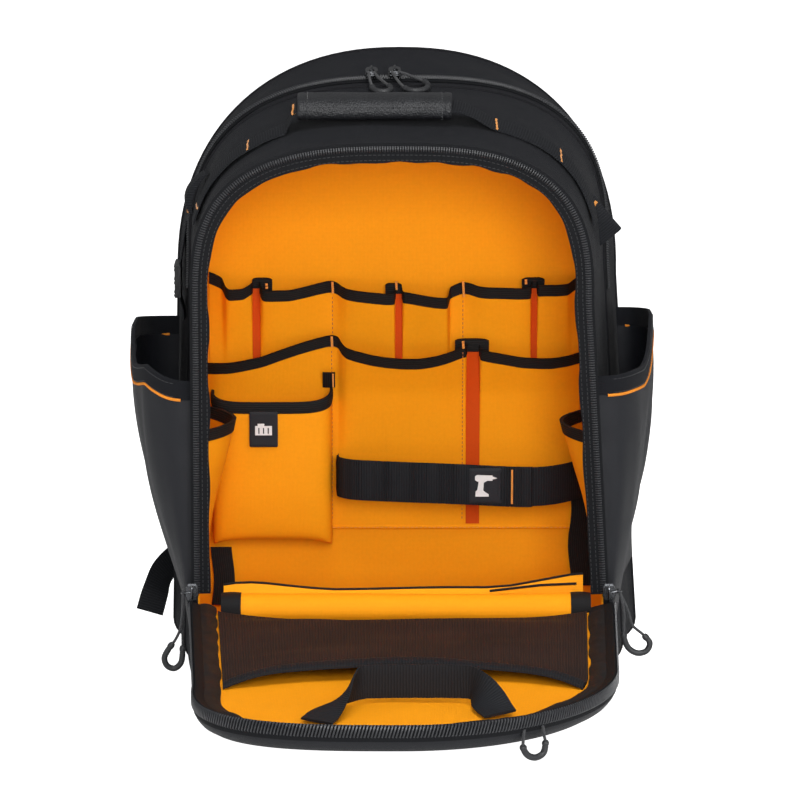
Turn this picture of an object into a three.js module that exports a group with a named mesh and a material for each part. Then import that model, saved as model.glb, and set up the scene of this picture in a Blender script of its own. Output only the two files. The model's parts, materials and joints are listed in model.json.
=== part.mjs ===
// Tool backpack, standing on its base with the front flap unzipped and folded down.
// Millimetres. The origin is the centre of the base, +Z is up, the front faces -Y.
import * as THREE from 'three';

// Driving sizes of the bag
const BODY_HEIGHT = 480;
const BODY_WIDTH = 372;
const BODY_DEPTH = 222;
const MAIN_DEPTH = 134;
const REAR_DEPTH = 71.7;
const BASE_CORNER = 18;
const SILL_HEIGHT = 72;

// Cloth and foam walls
const SHELL_WALL = 3.5;
const LINING_WALL = 1.2;
const DIVIDER_WALL = 3;
const POCKET_WALL = 1.6;
const WEBBING_WALL = 2;
const BINDING_HEIGHT = 9;
const BINDING_EXTRA = 0.6;
const GAP = 0.3;

// Zips
const ZIP_THICKNESS = 3;
const ZIP_FOOT = 95;
const FRONT_ZIP_WIDTH = 14;
const REAR_ZIP_WIDTH = 12;
const REAR_ZIP_FOOT = 300;
const FLAP_ZIP_WIDTH = 6;
const ZIP_OVERHANG = 1;

// Folded flap
const FLAP_LENGTH = 361;
const FLAP_WIDTH = 317;
const FLAP_RIM = 88;
const FLAP_DEPTH = 23;
const FLAP_RISE = 12;
const FLAP_FLOOR_DROP = 3.5;
const FLAP_BULGE = 0.008;
const FACING_WIDTH = 12;
const MESH_RISE = 10;
const MESH_HEM = 14;

// Pockets
const POCKET_SWELL = 18;
const BATTERY_DEPTH = 36;
const SIDE_POCKET_SWELL = 42;
const SIDE_POCKET_WALL = 2.5;
const SIDE_POCKET_HEM = 15;
const WALL_POCKET_SWELL = 24;

// Carrying parts
const WEBBING_WIDTH = 25;
const FLAP_STRAP_WIDTH = 24;
const LOWER_WEBBING_WIDTH = 22;
const GRIP_LENGTH = 116;
const GRIP_HEIGHT = 17;
const GRIP_WIDTH = 30;
const HANDLE_SETBACK = 57;
const BELT_HEIGHT = 32;
const BELT_REACH = 40;
const STRAP_WIDTH = 64;
const STRAP_THICKNESS = 12;
const LIP_RADIUS = 12;
const LIP_BAND = 1.3;
const CORD_DIAMETER = 2.2;
const PULL_GRIP_DIAMETER = 4.6;

const HALF_WIDTH = BODY_WIDTH / 2;
const FRONT = -BODY_DEPTH / 2;
const BACK = BODY_DEPTH / 2;
const WALL_FACE = FRONT + MAIN_DEPTH - DIVIDER_WALL;
const REAR_START = FRONT + MAIN_DEPTH + GAP;
const REAR_END = REAR_START + REAR_DEPTH;
const LINING_OUTER = SHELL_WALL + GAP;
const LINING_INNER = LINING_OUTER + LINING_WALL;
const CORD_RADIUS = CORD_DIAMETER / 2;

// Outlines across the bag: depth is a share of BODY_DEPTH, widths are shares of half of
// BODY_WIDTH, rise and top are shares of BODY_HEIGHT, crowns are superellipse powers.
const BODY_SECTIONS = [
  { depth: 0, leftBase: 0.844, rightBase: 0.876, leftShoulder: 0.839, rightShoulder: 0.774,
    rise: 0.667, top: 0.915, leftCrown: 2.85, rightCrown: 2.8 },
  { depth: 0.676, leftBase: 0.925, rightBase: 0.957, leftShoulder: 0.876, rightShoulder: 0.855,
    rise: 0.688, top: 0.967, leftCrown: 2.6, rightCrown: 2.9 },
  { depth: 0.928, leftBase: 0.978, rightBase: 1.022, leftShoulder: 0.941, rightShoulder: 0.914,
    rise: 0.625, top: 1, leftCrown: 2.25, rightCrown: 2.3 },
];

// Outline of the flap seen from above: widths are shares of half of FLAP_WIDTH, shoulders
// are shares of FLAP_LENGTH.
const FLAP_OUTLINE = {
  leftBase: 0.99, leftShoulder: 0.902, leftRise: 0.693, leftCrown: 3,
  rightBase: 1.01, rightShoulder: 0.965, rightRise: 0.554, rightCrown: 2.05,
};

// Pan of the flap from the rim down to the belly: drop is a share of FLAP_DEPTH, inset is a
// share of half of FLAP_WIDTH.
const FLAP_PROFILE = [
  { drop: 0, inset: 0 },
  { drop: 0.36, inset: -FLAP_BULGE },
  { drop: 0.66, inset: 0.02 },
  { drop: 0.88, inset: 0.1 },
  { drop: 0.97, inset: 0.2 },
];

// Inner pockets on the divider: left and right are shares of half of BODY_WIDTH, the heights
// are shares of BODY_HEIGHT, swell is a share of POCKET_SWELL.
const UPPER_POCKETS = [
  { left: -0.839, right: -0.608, topLeft: 0.644, topRight: 0.644, dip: 0.004, swell: 0.6 },
  { left: -0.586, right: -0.288, topLeft: 0.646, topRight: 0.648, dip: 0.009, swell: 0.9 },
  { left: -0.28, right: -0.018, topLeft: 0.645, topRight: 0.643, dip: 0.008, swell: 0.8 },
  { left: 0.002, right: 0.266, topLeft: 0.643, topRight: 0.646, dip: 0.01, swell: 0.9 },
  { left: 0.276, right: 0.55, topLeft: 0.644, topRight: 0.644, dip: 0.007, swell: 0.8 },
  { left: 0.58, right: 0.812, topLeft: 0.646, topRight: 0.64, dip: 0.007, swell: 0.8 },
];
const MIDDLE_POCKETS = [
  { left: -0.79, right: -0.29, topLeft: 0.512, topRight: 0.55, dip: 0.004, swell: 0.6 },
  { left: -0.274, right: 0.31, topLeft: 0.542, topRight: 0.542, dip: 0.014, swell: 1 },
  { left: 0.34, right: 0.812, topLeft: 0.54, topRight: 0.515, dip: 0.006, swell: 0.9 },
];
const UPPER_BOTTOM = 0.49;
const MIDDLE_BOTTOM = 0.2375;
const STEP_FOOT = 0.468;
const STEP_TOP = 0.546;
const STEP_STAND = 8.2;

// Pouch of the battery: shares as above, depth is a share of BATTERY_DEPTH by its height.
const BATTERY_POUCH = {
  left: -0.785, right: -0.285, bottom: 0.217, topLeft: 0.47, topRight: 0.478, dip: 0.03,
};
const BATTERY_PROFILE = [
  { height: 0, depth: 0.2 },
  { height: 0.05, depth: 0.62 },
  { height: 0.3, depth: 0.86 },
  { height: 0.65, depth: 1 },
  { height: 1, depth: 0.97 },
];

// Pockets on the inner side walls: front and back are shares of MAIN_DEPTH, heights are
// shares of BODY_HEIGHT.
const WALL_POCKETS = {
  left: { hand: -1, front: 0.13, back: 0.8, bottom: 0.192, top: 0.45, swell: 0.95 },
  right: { hand: 1, front: 0.13, back: 0.8, bottom: 0.192, top: 0.447, swell: 1.05 },
};

// Outer side pockets: front and back are shares of BODY_DEPTH, heights are shares of
// BODY_HEIGHT.
const SIDE_POCKETS = {
  left: { hand: -1, front: 0.03, back: 0.89, bottomFront: 0.13, bottomBack: 0.15,
    rimFront: 0.535, rimBack: 0.604, swell: 1 },
  right: { hand: 1, front: 0.03, back: 0.89, bottomFront: 0.13, bottomBack: 0.15,
    rimFront: 0.538, rimBack: 0.613, swell: 0.8 },
};

// Colours and finishes
const BLACK_CLOTH = { color: 0x17181b, roughness: 0.85, metalness: 0 };
const ORANGE_CLOTH = { color: 0xf08a14, roughness: 0.8, metalness: 0 };
const WEBBING = { color: 0x121315, roughness: 0.75, metalness: 0 };
const NET = { color: 0x2c1d14, roughness: 0.9, metalness: 0 };
const SOFTSHELL = { color: 0x0e0f11, roughness: 0.6, metalness: 0 };
const LEATHER = { color: 0x1a1a1c, roughness: 0.5, metalness: 0 };
const RUBBER = { color: 0x0d0d0e, roughness: 0.65, metalness: 0 };
const PLASTIC = { color: 0x101012, roughness: 0.4, metalness: 0 };
const METAL = { color: 0x1f2024, roughness: 0.35, metalness: 0.9 };

const model = new THREE.Group();

function add(name, geometry, finish) {
  const mesh = new THREE.Mesh(geometry, new THREE.MeshStandardMaterial(finish));
  mesh.name = name;
  model.add(mesh);
}

function mix(a, b, share) {
  return a + (b - a) * share;
}

function mixPoints(a, b, share) {
  return a.map((value, axis) => mix(value, b[axis], share));
}

// A closed body from points and triangles, its faces turned outwards.
function body(points, faces) {
  const corners = points.map((point) => new THREE.Vector3(...point));
  let volume = 0;
  for (const [a, b, c] of faces) {
    volume += corners[a].dot(corners[b].clone().cross(corners[c]));
  }
  const turned = volume < 0 ? faces.map(([a, b, c]) => [a, c, b]) : faces;
  const geometry = new THREE.BufferGeometry();
  geometry.setAttribute('position', new THREE.Float32BufferAttribute(points.flat(), 3));
  geometry.setIndex(turned.flat());
  geometry.computeVertexNormals();
  return geometry;
}

// The skins of a wall: an outer and an inner grid of points, with the numbers of their faces.
function skins(outer, inner, closed) {
  const rows = outer.length;
  const columns = outer[0].length;
  const at = (side, row, column) => (side * rows + row) * columns + (column % columns);
  const faces = [];
  const quad = (a, b, c, d) => faces.push([a, b, c], [a, c, d]);
  for (let row = 0; row < rows - 1; row += 1) {
    for (let column = 0; column < (closed ? columns : columns - 1); column += 1) {
      const [next, up] = [column + 1, row + 1];
      quad(at(0, row, column), at(0, row, next), at(0, up, next), at(0, up, column));
      quad(at(1, up, column), at(1, up, next), at(1, row, next), at(1, row, column));
    }
  }
  return { points: [...outer.flat(), ...inner.flat()], faces, at, quad };
}

// Walls of cloth between an outer and an inner grid of points, joined along the free edges.
// A closed wall joins its last column to its first.
function wall(outer, inner, closed = false) {
  const { points, faces, at, quad } = skins(outer, inner, closed);
  const top = outer.length - 1;
  const last = outer[0].length - 1;
  for (let column = 0; column < (closed ? last + 1 : last); column += 1) {
    const next = column + 1;
    quad(at(0, 0, next), at(0, 0, column), at(1, 0, column), at(1, 0, next));
    quad(at(0, top, column), at(0, top, next), at(1, top, next), at(1, top, column));
  }
  for (let row = 0; row < (closed ? 0 : top); row += 1) {
    const up = row + 1;
    quad(at(0, row, 0), at(0, up, 0), at(1, up, 0), at(1, row, 0));
    quad(at(0, up, last), at(0, row, last), at(1, row, last), at(1, up, last));
  }
  return body(points, faces);
}

function centreOf(ring) {
  const total = [0, 0, 0];
  for (const point of ring) {
    point.forEach((value, axis) => {
      total[axis] += value / ring.length;
    });
  }
  return total;
}

// A solid through rings of points, closed by a fan at each end.
function loft(rings) {
  const columns = rings[0].length;
  const points = [...rings.flat(), centreOf(rings[0]), centreOf(rings.at(-1))];
  const first = points.length - 2;
  const last = points.length - 1;
  const top = (rings.length - 1) * columns;
  const faces = [];
  for (let column = 0; column < columns; column += 1) {
    const next = (column + 1) % columns;
    for (let row = 0; row < rings.length - 1; row += 1) {
      const here = row * columns;
      faces.push([here + column, here + next, here + columns + next]);
      faces.push([here + column, here + columns + next, here + columns + column]);
    }
    faces.push([first, next, column], [last, top + column, top + next]);
  }
  return body(points, faces);
}

// A pan: rings of an outer and an inner skin from the rim inwards, each closed by a fan.
function pan(outer, inner) {
  const { points, faces, at, quad } = skins(outer, inner, true);
  const last = outer.length - 1;
  const centres = [points.length, points.length + 1];
  for (let column = 0; column < outer[0].length; column += 1) {
    const next = column + 1;
    quad(at(0, 0, next), at(0, 0, column), at(1, 0, column), at(1, 0, next));
    faces.push([at(0, last, column), at(0, last, next), centres[0]]);
    faces.push([at(1, last, next), at(1, last, column), centres[1]]);
  }
  return body([...points, centreOf(outer.at(-1)), centreOf(inner.at(-1))], faces);
}

// Half of an arch from its foot to the crown, with x growing outwards.
function archHalf({ base, shoulder, foot, rise, top, crown }, sideSteps, crownSteps) {
  const points = [];
  for (let step = 0; step < sideSteps; step += 1) {
    const height = mix(foot, rise, step / sideSteps);
    points.push([mix(base, shoulder, height / rise), height]);
  }
  for (let step = 0; step <= crownSteps; step += 1) {
    const angle = (step / crownSteps) * Math.PI / 2;
    const across = Math.max(Math.cos(angle), 0) ** (2 / crown);
    const up = Math.sin(angle) ** (2 / crown);
    points.push([shoulder * across, rise + (top - rise) * up]);
  }
  return points;
}

function joinHalves(left, right) {
  return [...left.map(([x, z]) => [-x, z]), ...right.slice(0, -1).reverse()];
}

const SIDE_STEPS = 3;
const CROWN_STEPS = 7;

function sectionArch(section) {
  const half = (side) => archHalf({
    base: section[`${side}Base`] * HALF_WIDTH,
    shoulder: section[`${side}Shoulder`] * HALF_WIDTH,
    foot: BASE_CORNER,
    rise: section.rise * BODY_HEIGHT,
    top: section.top * BODY_HEIGHT,
    crown: section[`${side}Crown`],
  }, SIDE_STEPS, CROWN_STEPS);
  return joinHalves(half('left'), half('right'));
}

// Open outline of the bag at a depth, from the left side over the crown to the right side.
function bodyArch(y) {
  const depth = (y - FRONT) / BODY_DEPTH;
  const last = BODY_SECTIONS.length - 1;
  let index = 0;
  while (index < last - 1 && depth > BODY_SECTIONS[index + 1].depth) {
    index += 1;
  }
  const near = BODY_SECTIONS[index];
  const far = BODY_SECTIONS[index + 1];
  const share = THREE.MathUtils.clamp((depth - near.depth) / (far.depth - near.depth), 0, 1);
  const nearArch = sectionArch(near);
  const farArch = sectionArch(far);
  return nearArch.map((point, place) => mixPoints(point, farArch[place], share));
}

// Closed outline of the bag at a depth, with the rounded corners of the base.
function bodyLoop(y) {
  const arch = bodyArch(y);
  const corner = (foot, hand) => [1, 2, 3].map((step) => {
    const angle = (step / 3) * Math.PI / 2;
    const centre = foot[0] - hand * BASE_CORNER;
    return [centre + hand * BASE_CORNER * Math.cos(angle), BASE_CORNER * (1 - Math.sin(angle))];
  });
  return [...arch, ...corner(arch.at(-1), 1), ...corner(arch[0], -1).reverse()];
}

// The outline moved inwards by a distance, square to its own direction.
function inset(path, distance, closed) {
  const count = path.length;
  const normal = (from, to) => {
    const length = Math.hypot(to[0] - from[0], to[1] - from[1]);
    return [(to[1] - from[1]) / length, (from[0] - to[0]) / length];
  };
  return path.map((point, place) => {
    const before = closed || place > 0 ? path[(place + count - 1) % count] : null;
    const after = closed || place < count - 1 ? path[(place + 1) % count] : null;
    const one = before ? normal(before, point) : normal(point, after);
    const two = after ? normal(point, after) : one;
    const spread = 1 + one[0] * two[0] + one[1] * two[1];
    return [0, 1].map((axis) => point[axis] + distance * (one[axis] + two[axis]) / spread);
  });
}

const bodyRing = (y, distance) => inset(bodyLoop(y), distance, true).map(([x, z]) => [x, y, z]);

// The place along a path, counted in points, where it first passes a value on one axis.
function placeAt(path, axis, value, from = 0) {
  for (let place = from + 1; place < path.length; place += 1) {
    const [one, two] = [path[place - 1][axis], path[place][axis]];
    if ((value - one) * (value - two) <= 0 && one !== two) {
      return place - 1 + (value - one) / (two - one);
    }
  }
  return from;
}

// The stretch of a path between two places along it.
function stretch(path, from, to) {
  const at = (place) => {
    const low = Math.min(Math.floor(place), path.length - 2);
    return mixPoints(path[low], path[low + 1], place - low);
  };
  return [at(from), ...path.slice(Math.floor(from) + 1, Math.ceil(to)), at(to)];
}

const CROWN_PLACE = SIDE_STEPS + CROWN_STEPS;

// The two places where the outline at a depth reaches a height.
function feetAt(y, foot) {
  const arch = bodyArch(y);
  return [placeAt(arch, 1, foot), placeAt(arch, 1, foot, CROWN_PLACE)];
}

// The outline over the crown between two feet, as a ring at a depth.
function archRing(y, distance, feet) {
  return stretch(inset(bodyArch(y), distance, false), ...feet).map(([x, z]) => [x, y, z]);
}

// Half width of the bag on one side at a depth and a height.
function sideAt(y, z, hand) {
  const place = feetAt(y, z)[hand < 0 ? 0 : 1];
  return hand * stretch(bodyArch(y), place, place)[0][0];
}

// Height of the crown at a depth and a place across.
function crownAt(y, x) {
  const arch = bodyArch(y);
  const place = placeAt(arch, 0, x, SIDE_STEPS);
  return stretch(arch, place, place)[0][1];
}

const shares = (count) => Array.from({ length: count + 1 }, (_, step) => step / count);

// Bag body

function shellBand(depths) {
  return wall(
    depths.map((y) => bodyRing(y, 0)),
    depths.map((y) => bodyRing(y, SHELL_WALL)),
    true,
  );
}

const zipSeat = FRONT + BODY_SECTIONS[1].depth * BODY_DEPTH;

function addShells() {
  const mainEnd = FRONT + MAIN_DEPTH;
  add('main_shell', shellBand([FRONT, mix(FRONT, mainEnd, 0.5), mainEnd]), BLACK_CLOTH);
  const rearDepths = [REAR_START, zipSeat, zipSeat + REAR_ZIP_WIDTH / 2, REAR_END];
  add('rear_shell', shellBand(rearDepths), BLACK_CLOTH);
  const liningDepths = [FRONT, mix(FRONT, WALL_FACE, 0.5), WALL_FACE - GAP];
  add('gusset_lining', wall(
    liningDepths.map((y) => bodyRing(y, LINING_OUTER)),
    liningDepths.map((y) => bodyRing(y, LINING_INNER)),
    true,
  ), ORANGE_CLOTH);
}

// The padded back panel, rounded off towards the back.
const BACK_PANEL_PROFILE = [
  { depth: 0, inset: 0 },
  { depth: 0.4, inset: 0.012 },
  { depth: 0.8, inset: 0.04 },
  { depth: 1, inset: 0.09 },
];

function addBackPanel() {
  const start = REAR_END + GAP;
  const rings = BACK_PANEL_PROFILE.map((row) => {
    const y = mix(start, BACK, row.depth);
    return inset(bodyLoop(REAR_END), row.inset * HALF_WIDTH, true).map(([x, z]) => [x, y, z]);
  });
  add('back_panel', loft(rings), BLACK_CLOTH);
}

// A flat plate across the bag from a closed outline in X and Z.
function plate(outline, front, thickness) {
  const shape = new THREE.Shape(outline.map(([x, z]) => new THREE.Vector2(x, z)));
  const geometry = new THREE.ExtrudeGeometry(shape, { depth: thickness, bevelEnabled: false });
  return geometry.rotateX(Math.PI / 2).translate(0, front + thickness, 0);
}

function addWalls() {
  const divider = inset(bodyLoop(WALL_FACE), LINING_OUTER, true);
  add('back_wall', plate(divider, WALL_FACE, DIVIDER_WALL), ORANGE_CLOTH);
  const edge = (hand) => [hand * (sideAt(FRONT, SILL_HEIGHT, hand) - LINING_INNER - GAP), SILL_HEIGHT];
  const loop = inset(bodyLoop(FRONT), LINING_INNER + GAP, true);
  const [leftFoot, ...others] = loop.filter(([, z]) => z < SILL_HEIGHT);
  add('front_sill', plate([edge(-1), edge(1), ...others, leftFoot], FRONT, SHELL_WALL), BLACK_CLOTH);
}

function addZips() {
  const feet = feetAt(FRONT, ZIP_FOOT);
  const tape = (y) => [-ZIP_OVERHANG, FRONT_ZIP_WIDTH].map((distance) => (
    archRing(FRONT, distance, feet).map(([x, , z]) => [x, y, z])
  ));
  add('front_zip', wall(tape(FRONT - GAP - ZIP_THICKNESS), tape(FRONT - GAP)), WEBBING);
  const rearFeet = feetAt(zipSeat, REAR_ZIP_FOOT);
  const depths = [zipSeat - REAR_ZIP_WIDTH / 2, zipSeat, zipSeat + REAR_ZIP_WIDTH / 2];
  add('rear_zip', wall(
    depths.map((y) => archRing(y, -GAP - ZIP_THICKNESS, rearFeet)),
    depths.map((y) => archRing(y, -GAP, rearFeet)),
  ), WEBBING);
}

// Outer side pockets

// In plan the pocket is a superellipse; its cloth is full from the belly's height up.
const SIDE_POCKET_PLAN = 2.5;
const SIDE_POCKET_BELLY = 0.92;
const SIDE_POCKET_RISE = 1.2;

// A point of a bellows pocket: share runs from the front seam to the back seam, lift is how
// far off the bag's side the point stands beyond the cloth's own swell.
function sidePocketPoint(pocket, share, z, lift) {
  const y = FRONT + mix(pocket.front, pocket.back, share) * BODY_DEPTH;
  const bottom = mix(pocket.bottomFront, pocket.bottomBack, share) * BODY_HEIGHT;
  const rim = mix(pocket.rimFront, pocket.rimBack, share) * BODY_HEIGHT;
  const plan = (1 - Math.abs(2 * share - 1) ** SIDE_POCKET_PLAN) ** (1 / SIDE_POCKET_PLAN);
  const height = THREE.MathUtils.clamp((z - bottom) / (rim - bottom), 0, 1);
  const full = Math.min(height / SIDE_POCKET_BELLY, 1);
  const rising = Math.sin(full * Math.PI / 2) ** SIDE_POCKET_RISE;
  const swell = pocket.swell * SIDE_POCKET_SWELL * plan * rising;
  return [pocket.hand * (sideAt(y, z, pocket.hand) + GAP + swell + lift), y, z];
}

const SIDE_POCKET_SPANS = [0, 0.03, 0.12, 0.28, 0.5, 0.72, 0.88, 0.97, 1];

function sidePocketGrid(pocket, from, to, rows, lift) {
  return shares(rows).map((up) => SIDE_POCKET_SPANS.map((share) => {
    const bottom = mix(pocket.bottomFront, pocket.bottomBack, share) * BODY_HEIGHT;
    const rim = mix(pocket.rimFront, pocket.rimBack, share) * BODY_HEIGHT;
    const low = from === 'bottom' ? bottom : rim - SIDE_POCKET_HEM;
    const high = to === 'rim' ? rim : rim - SIDE_POCKET_HEM - GAP;
    return sidePocketPoint(pocket, share, mix(low, high, up), lift);
  }));
}

function addSidePockets() {
  for (const [side, pocket] of Object.entries(SIDE_POCKETS)) {
    add(`side_pocket_${side}`, wall(
      sidePocketGrid(pocket, 'bottom', 'hem', 6, SIDE_POCKET_WALL),
      sidePocketGrid(pocket, 'bottom', 'hem', 6, 0),
    ), SOFTSHELL);
    add(`side_pocket_hem_${side}`, wall(
      sidePocketGrid(pocket, 'hem', 'rim', 1, SIDE_POCKET_WALL + BINDING_EXTRA),
      sidePocketGrid(pocket, 'hem', 'rim', 1, 0),
    ), BLACK_CLOTH);
  }
}

// Inner pockets on the divider

// Powers that shape the slack: across each pocket, up the two rows and along the mouths.
const SLACK_ACROSS = 0.7;
const UPPER_SLACK = 1.4;
const MIDDLE_SLACK = 2;
const POCKET_SPANS = [0, 0.12, 0.32, 0.5, 0.68, 0.88, 1];

// Rows of cloth stitched to the divider between the pockets: one column of points for each
// place across, with the height of the mouth there and the share of the swell.
function rowColumns(pockets) {
  const columns = [];
  for (const pocket of pockets) {
    for (const share of POCKET_SPANS) {
      const bulge = Math.sin(share * Math.PI);
      columns.push({
        x: mix(pocket.left, pocket.right, share) * HALF_WIDTH,
        mouth: (mix(pocket.topLeft, pocket.topRight, share) - pocket.dip * bulge) * BODY_HEIGHT,
        swell: pocket.swell * POCKET_SWELL * bulge ** SLACK_ACROSS,
      });
    }
  }
  return columns;
}

function upperStand(column, z) {
  const bottom = UPPER_BOTTOM * BODY_HEIGHT;
  const height = THREE.MathUtils.clamp((z - bottom) / (column.mouth - bottom), 0, 1);
  return GAP + column.swell * height ** UPPER_SLACK;
}

// The middle row starts clear of the upper row, which ends behind its mouths.
function middleStand(column, z) {
  const bottom = MIDDLE_BOTTOM * BODY_HEIGHT;
  const step = (z / BODY_HEIGHT - STEP_FOOT) / (STEP_TOP - STEP_FOOT);
  const height = THREE.MathUtils.clamp((z - bottom) / (column.mouth - bottom), 0, 1);
  return GAP + STEP_STAND * Math.max(step, 0) + column.swell * height ** MIDDLE_SLACK;
}

function rowWall(columns, stand, heights, extra) {
  const grid = (lift) => heights(columns[0]).map((_, row) => columns.map((column) => {
    const z = heights(column)[row];
    return [column.x, WALL_FACE - Math.max(stand(column, z) + lift, GAP), z];
  }));
  return wall(grid(POCKET_WALL + extra), grid(-extra));
}

// The cloth of a row from its bottom up to the tape, at the given shares of that height.
function addPocketRow(name, pockets, stand, bottom, levels) {
  const columns = rowColumns(pockets);
  const seam = (column) => column.mouth - BINDING_HEIGHT;
  const cloth = (column) => levels.map((level) => mix(bottom * BODY_HEIGHT, seam(column) - GAP, level));
  add(`pockets_${name}`, rowWall(columns, stand, cloth, 0), ORANGE_CLOTH);
  const tape = (column) => [seam(column), column.mouth];
  add(`binding_${name}`, rowWall(columns, stand, tape, BINDING_EXTRA), WEBBING);
}

function addPocketRows() {
  addPocketRow('upper', UPPER_POCKETS, upperStand, UPPER_BOTTOM, [0, 0.23, 0.54, 1]);
  addPocketRow('middle', MIDDLE_POCKETS, middleStand, MIDDLE_BOTTOM, [0, 0.22, 0.43, 0.65, 0.81, 1]);
}

// The pouch of the battery stands off the middle row like a small box.
const POUCH_CLEARANCE = 3;
const POUCH_SEAT = POCKET_WALL + POUCH_CLEARANCE;
const POUCH_COLUMNS = 14;
const POUCH_POWER = 5;
const POUCH_DIP_POWER = 1.5;

// One level of the pouch seen from above, as x and y.
function pouchLevel(depth, narrower) {
  const { left, right } = BATTERY_POUCH;
  const middle = (left + right) / 2 * HALF_WIDTH;
  const half = (right - left) / 2 * HALF_WIDTH - narrower;
  return shares(POUCH_COLUMNS).map((share) => {
    const angle = Math.PI * (1 - share);
    const across = Math.sign(Math.cos(angle)) * Math.abs(Math.cos(angle)) ** (2 / POUCH_POWER);
    const out = Math.abs(Math.sin(angle)) ** (2 / POUCH_POWER);
    return [middle + half * across, WALL_FACE - mix(POUCH_SEAT, depth - narrower, out)];
  });
}

function pouchMouth(share) {
  const pouch = BATTERY_POUCH;
  const dip = pouch.dip * Math.sin(share * Math.PI) ** POUCH_DIP_POWER;
  return (mix(pouch.topLeft, pouch.topRight, share) - dip) * BODY_HEIGHT;
}

function pouchGrid(narrower) {
  const bottom = BATTERY_POUCH.bottom * BODY_HEIGHT + narrower;
  const tops = shares(POUCH_COLUMNS).map((share) => pouchMouth(share) - BINDING_HEIGHT - GAP);
  return BATTERY_PROFILE.map((row) => (
    pouchLevel(row.depth * BATTERY_DEPTH, narrower).map(([x, y], place) => (
      [x, y, mix(bottom, tops[place], row.height)]
    ))
  ));
}

function addBatteryPocket() {
  add('battery_pocket', wall(pouchGrid(0), pouchGrid(POCKET_WALL)), ORANGE_CLOTH);
  const depth = BATTERY_PROFILE.at(-1).depth * BATTERY_DEPTH;
  const tape = (narrower) => [BINDING_HEIGHT, 0].map((drop) => (
    pouchLevel(depth, narrower).map(([x, y], place) => [x, y, pouchMouth(place / POUCH_COLUMNS) - drop])
  ));
  add('battery_binding', wall(tape(-BINDING_EXTRA), tape(POCKET_WALL)), WEBBING);
}

// Tags sewn on the pouch and on the belt: sizes in millimetres.
const BATTERY_TAG = { width: 22, height: 28, thickness: 1, across: -106, mouthDrop: 10 };
const BELT_TAG = { width: 24, height: 27, thickness: 1, across: 66 };

function tag({ width, height, thickness, across }, y, z) {
  const [left, right] = [across - width / 2, across + width / 2];
  const outline = [[left, z], [right, z], [right, z + height], [left, z + height]];
  return plate(outline, y - thickness, thickness);
}

function addTags() {
  const { left, right } = BATTERY_POUCH;
  const share = (BATTERY_TAG.across / HALF_WIDTH - left) / (right - left);
  const top = pouchMouth(share) - BATTERY_TAG.mouthDrop;
  const pouchFront = WALL_FACE - BATTERY_DEPTH - GAP;
  add('battery_label', tag(BATTERY_TAG, pouchFront, top - BATTERY_TAG.height), PLASTIC);
  const beltFront = WALL_FACE - BELT_REACH - WEBBING_WALL - GAP;
  add('drill_label', tag(BELT_TAG, beltFront, BELT_LEVEL * BODY_HEIGHT - BELT_TAG.height / 2), PLASTIC);
}

// Stiff belt for a drill: places across are shares of half of BODY_WIDTH, stand is a share
// of BELT_REACH, measured off the divider.
const BELT_LEVEL = 0.335;
const BELT_PATH = [
  { across: -0.262, stand: 0.045 },
  { across: -0.252, stand: 0.55 },
  { across: -0.2, stand: 0.86 },
  { across: 0, stand: 0.96 },
  { across: 0.2, stand: 1 },
  { across: 0.56, stand: 1 },
  { across: 0.68, stand: 0.74 },
  { across: 0.78, stand: 0.32 },
  { across: 0.806, stand: 0.045 },
];

// A flat strip along a path: each station has its place and the direction across it.
function strip(stations, width, thickness) {
  const at = stations.map((station) => new THREE.Vector3(...station.at));
  const grids = [1, -1].map((side) => [1, -1].map((edge) => at.map((place, index) => {
    const before = at[Math.max(index - 1, 0)];
    const after = at[Math.min(index + 1, at.length - 1)];
    const along = after.clone().sub(before).normalize();
    const across = new THREE.Vector3(...stations[index].across);
    across.addScaledVector(along, -across.dot(along)).normalize();
    const out = along.clone().cross(across);
    const point = place.clone();
    point.addScaledVector(across, edge * width / 2);
    point.addScaledVector(out, side * thickness / 2);
    return point.toArray();
  })));
  return wall(grids[0], grids[1]);
}

function addBelt() {
  const stations = BELT_PATH.map((row) => ({
    at: [
      row.across * HALF_WIDTH,
      WALL_FACE - row.stand * BELT_REACH - WEBBING_WALL / 2,
      BELT_LEVEL * BODY_HEIGHT,
    ],
    across: [0, 0, 1],
  }));
  add('drill_belt', strip(stations, BELT_HEIGHT, WEBBING_WALL), WEBBING);
}

// Pockets on the inner side walls
const WALL_SLACK = 0.8;

function wallPocketGrid(pocket, low, high, rows, lift) {
  return shares(rows).map((up) => shares(6).map((share) => {
    const y = FRONT + mix(pocket.front, pocket.back, share) * MAIN_DEPTH;
    const z = mix(low, high, up);
    const height = (z - pocket.bottom * BODY_HEIGHT) / ((pocket.top - pocket.bottom) * BODY_HEIGHT);
    const swell = pocket.swell * WALL_POCKET_SWELL * Math.sin(share * Math.PI) ** WALL_SLACK * height;
    const stand = LINING_INNER + Math.max(GAP, GAP + swell + lift);
    return [pocket.hand * (sideAt(y, z, pocket.hand) - stand), y, z];
  }));
}

function addWallPockets() {
  for (const [side, pocket] of Object.entries(WALL_POCKETS)) {
    const bottom = pocket.bottom * BODY_HEIGHT;
    const top = pocket.top * BODY_HEIGHT;
    const seam = top - BINDING_HEIGHT;
    add(`side_wall_pocket_${side}`, wall(
      wallPocketGrid(pocket, bottom, seam - GAP, 3, POCKET_WALL),
      wallPocketGrid(pocket, bottom, seam - GAP, 3, 0),
    ), ORANGE_CLOTH);
    add(`side_wall_binding_${side}`, wall(
      wallPocketGrid(pocket, seam, top, 1, POCKET_WALL + BINDING_EXTRA),
      wallPocketGrid(pocket, seam, top, 1, -BINDING_EXTRA),
    ), WEBBING);
  }
}

// Folded flap

const FLAP_BACK = FRONT - 2 * GAP - FLAP_BULGE * FLAP_WIDTH / 2;

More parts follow.
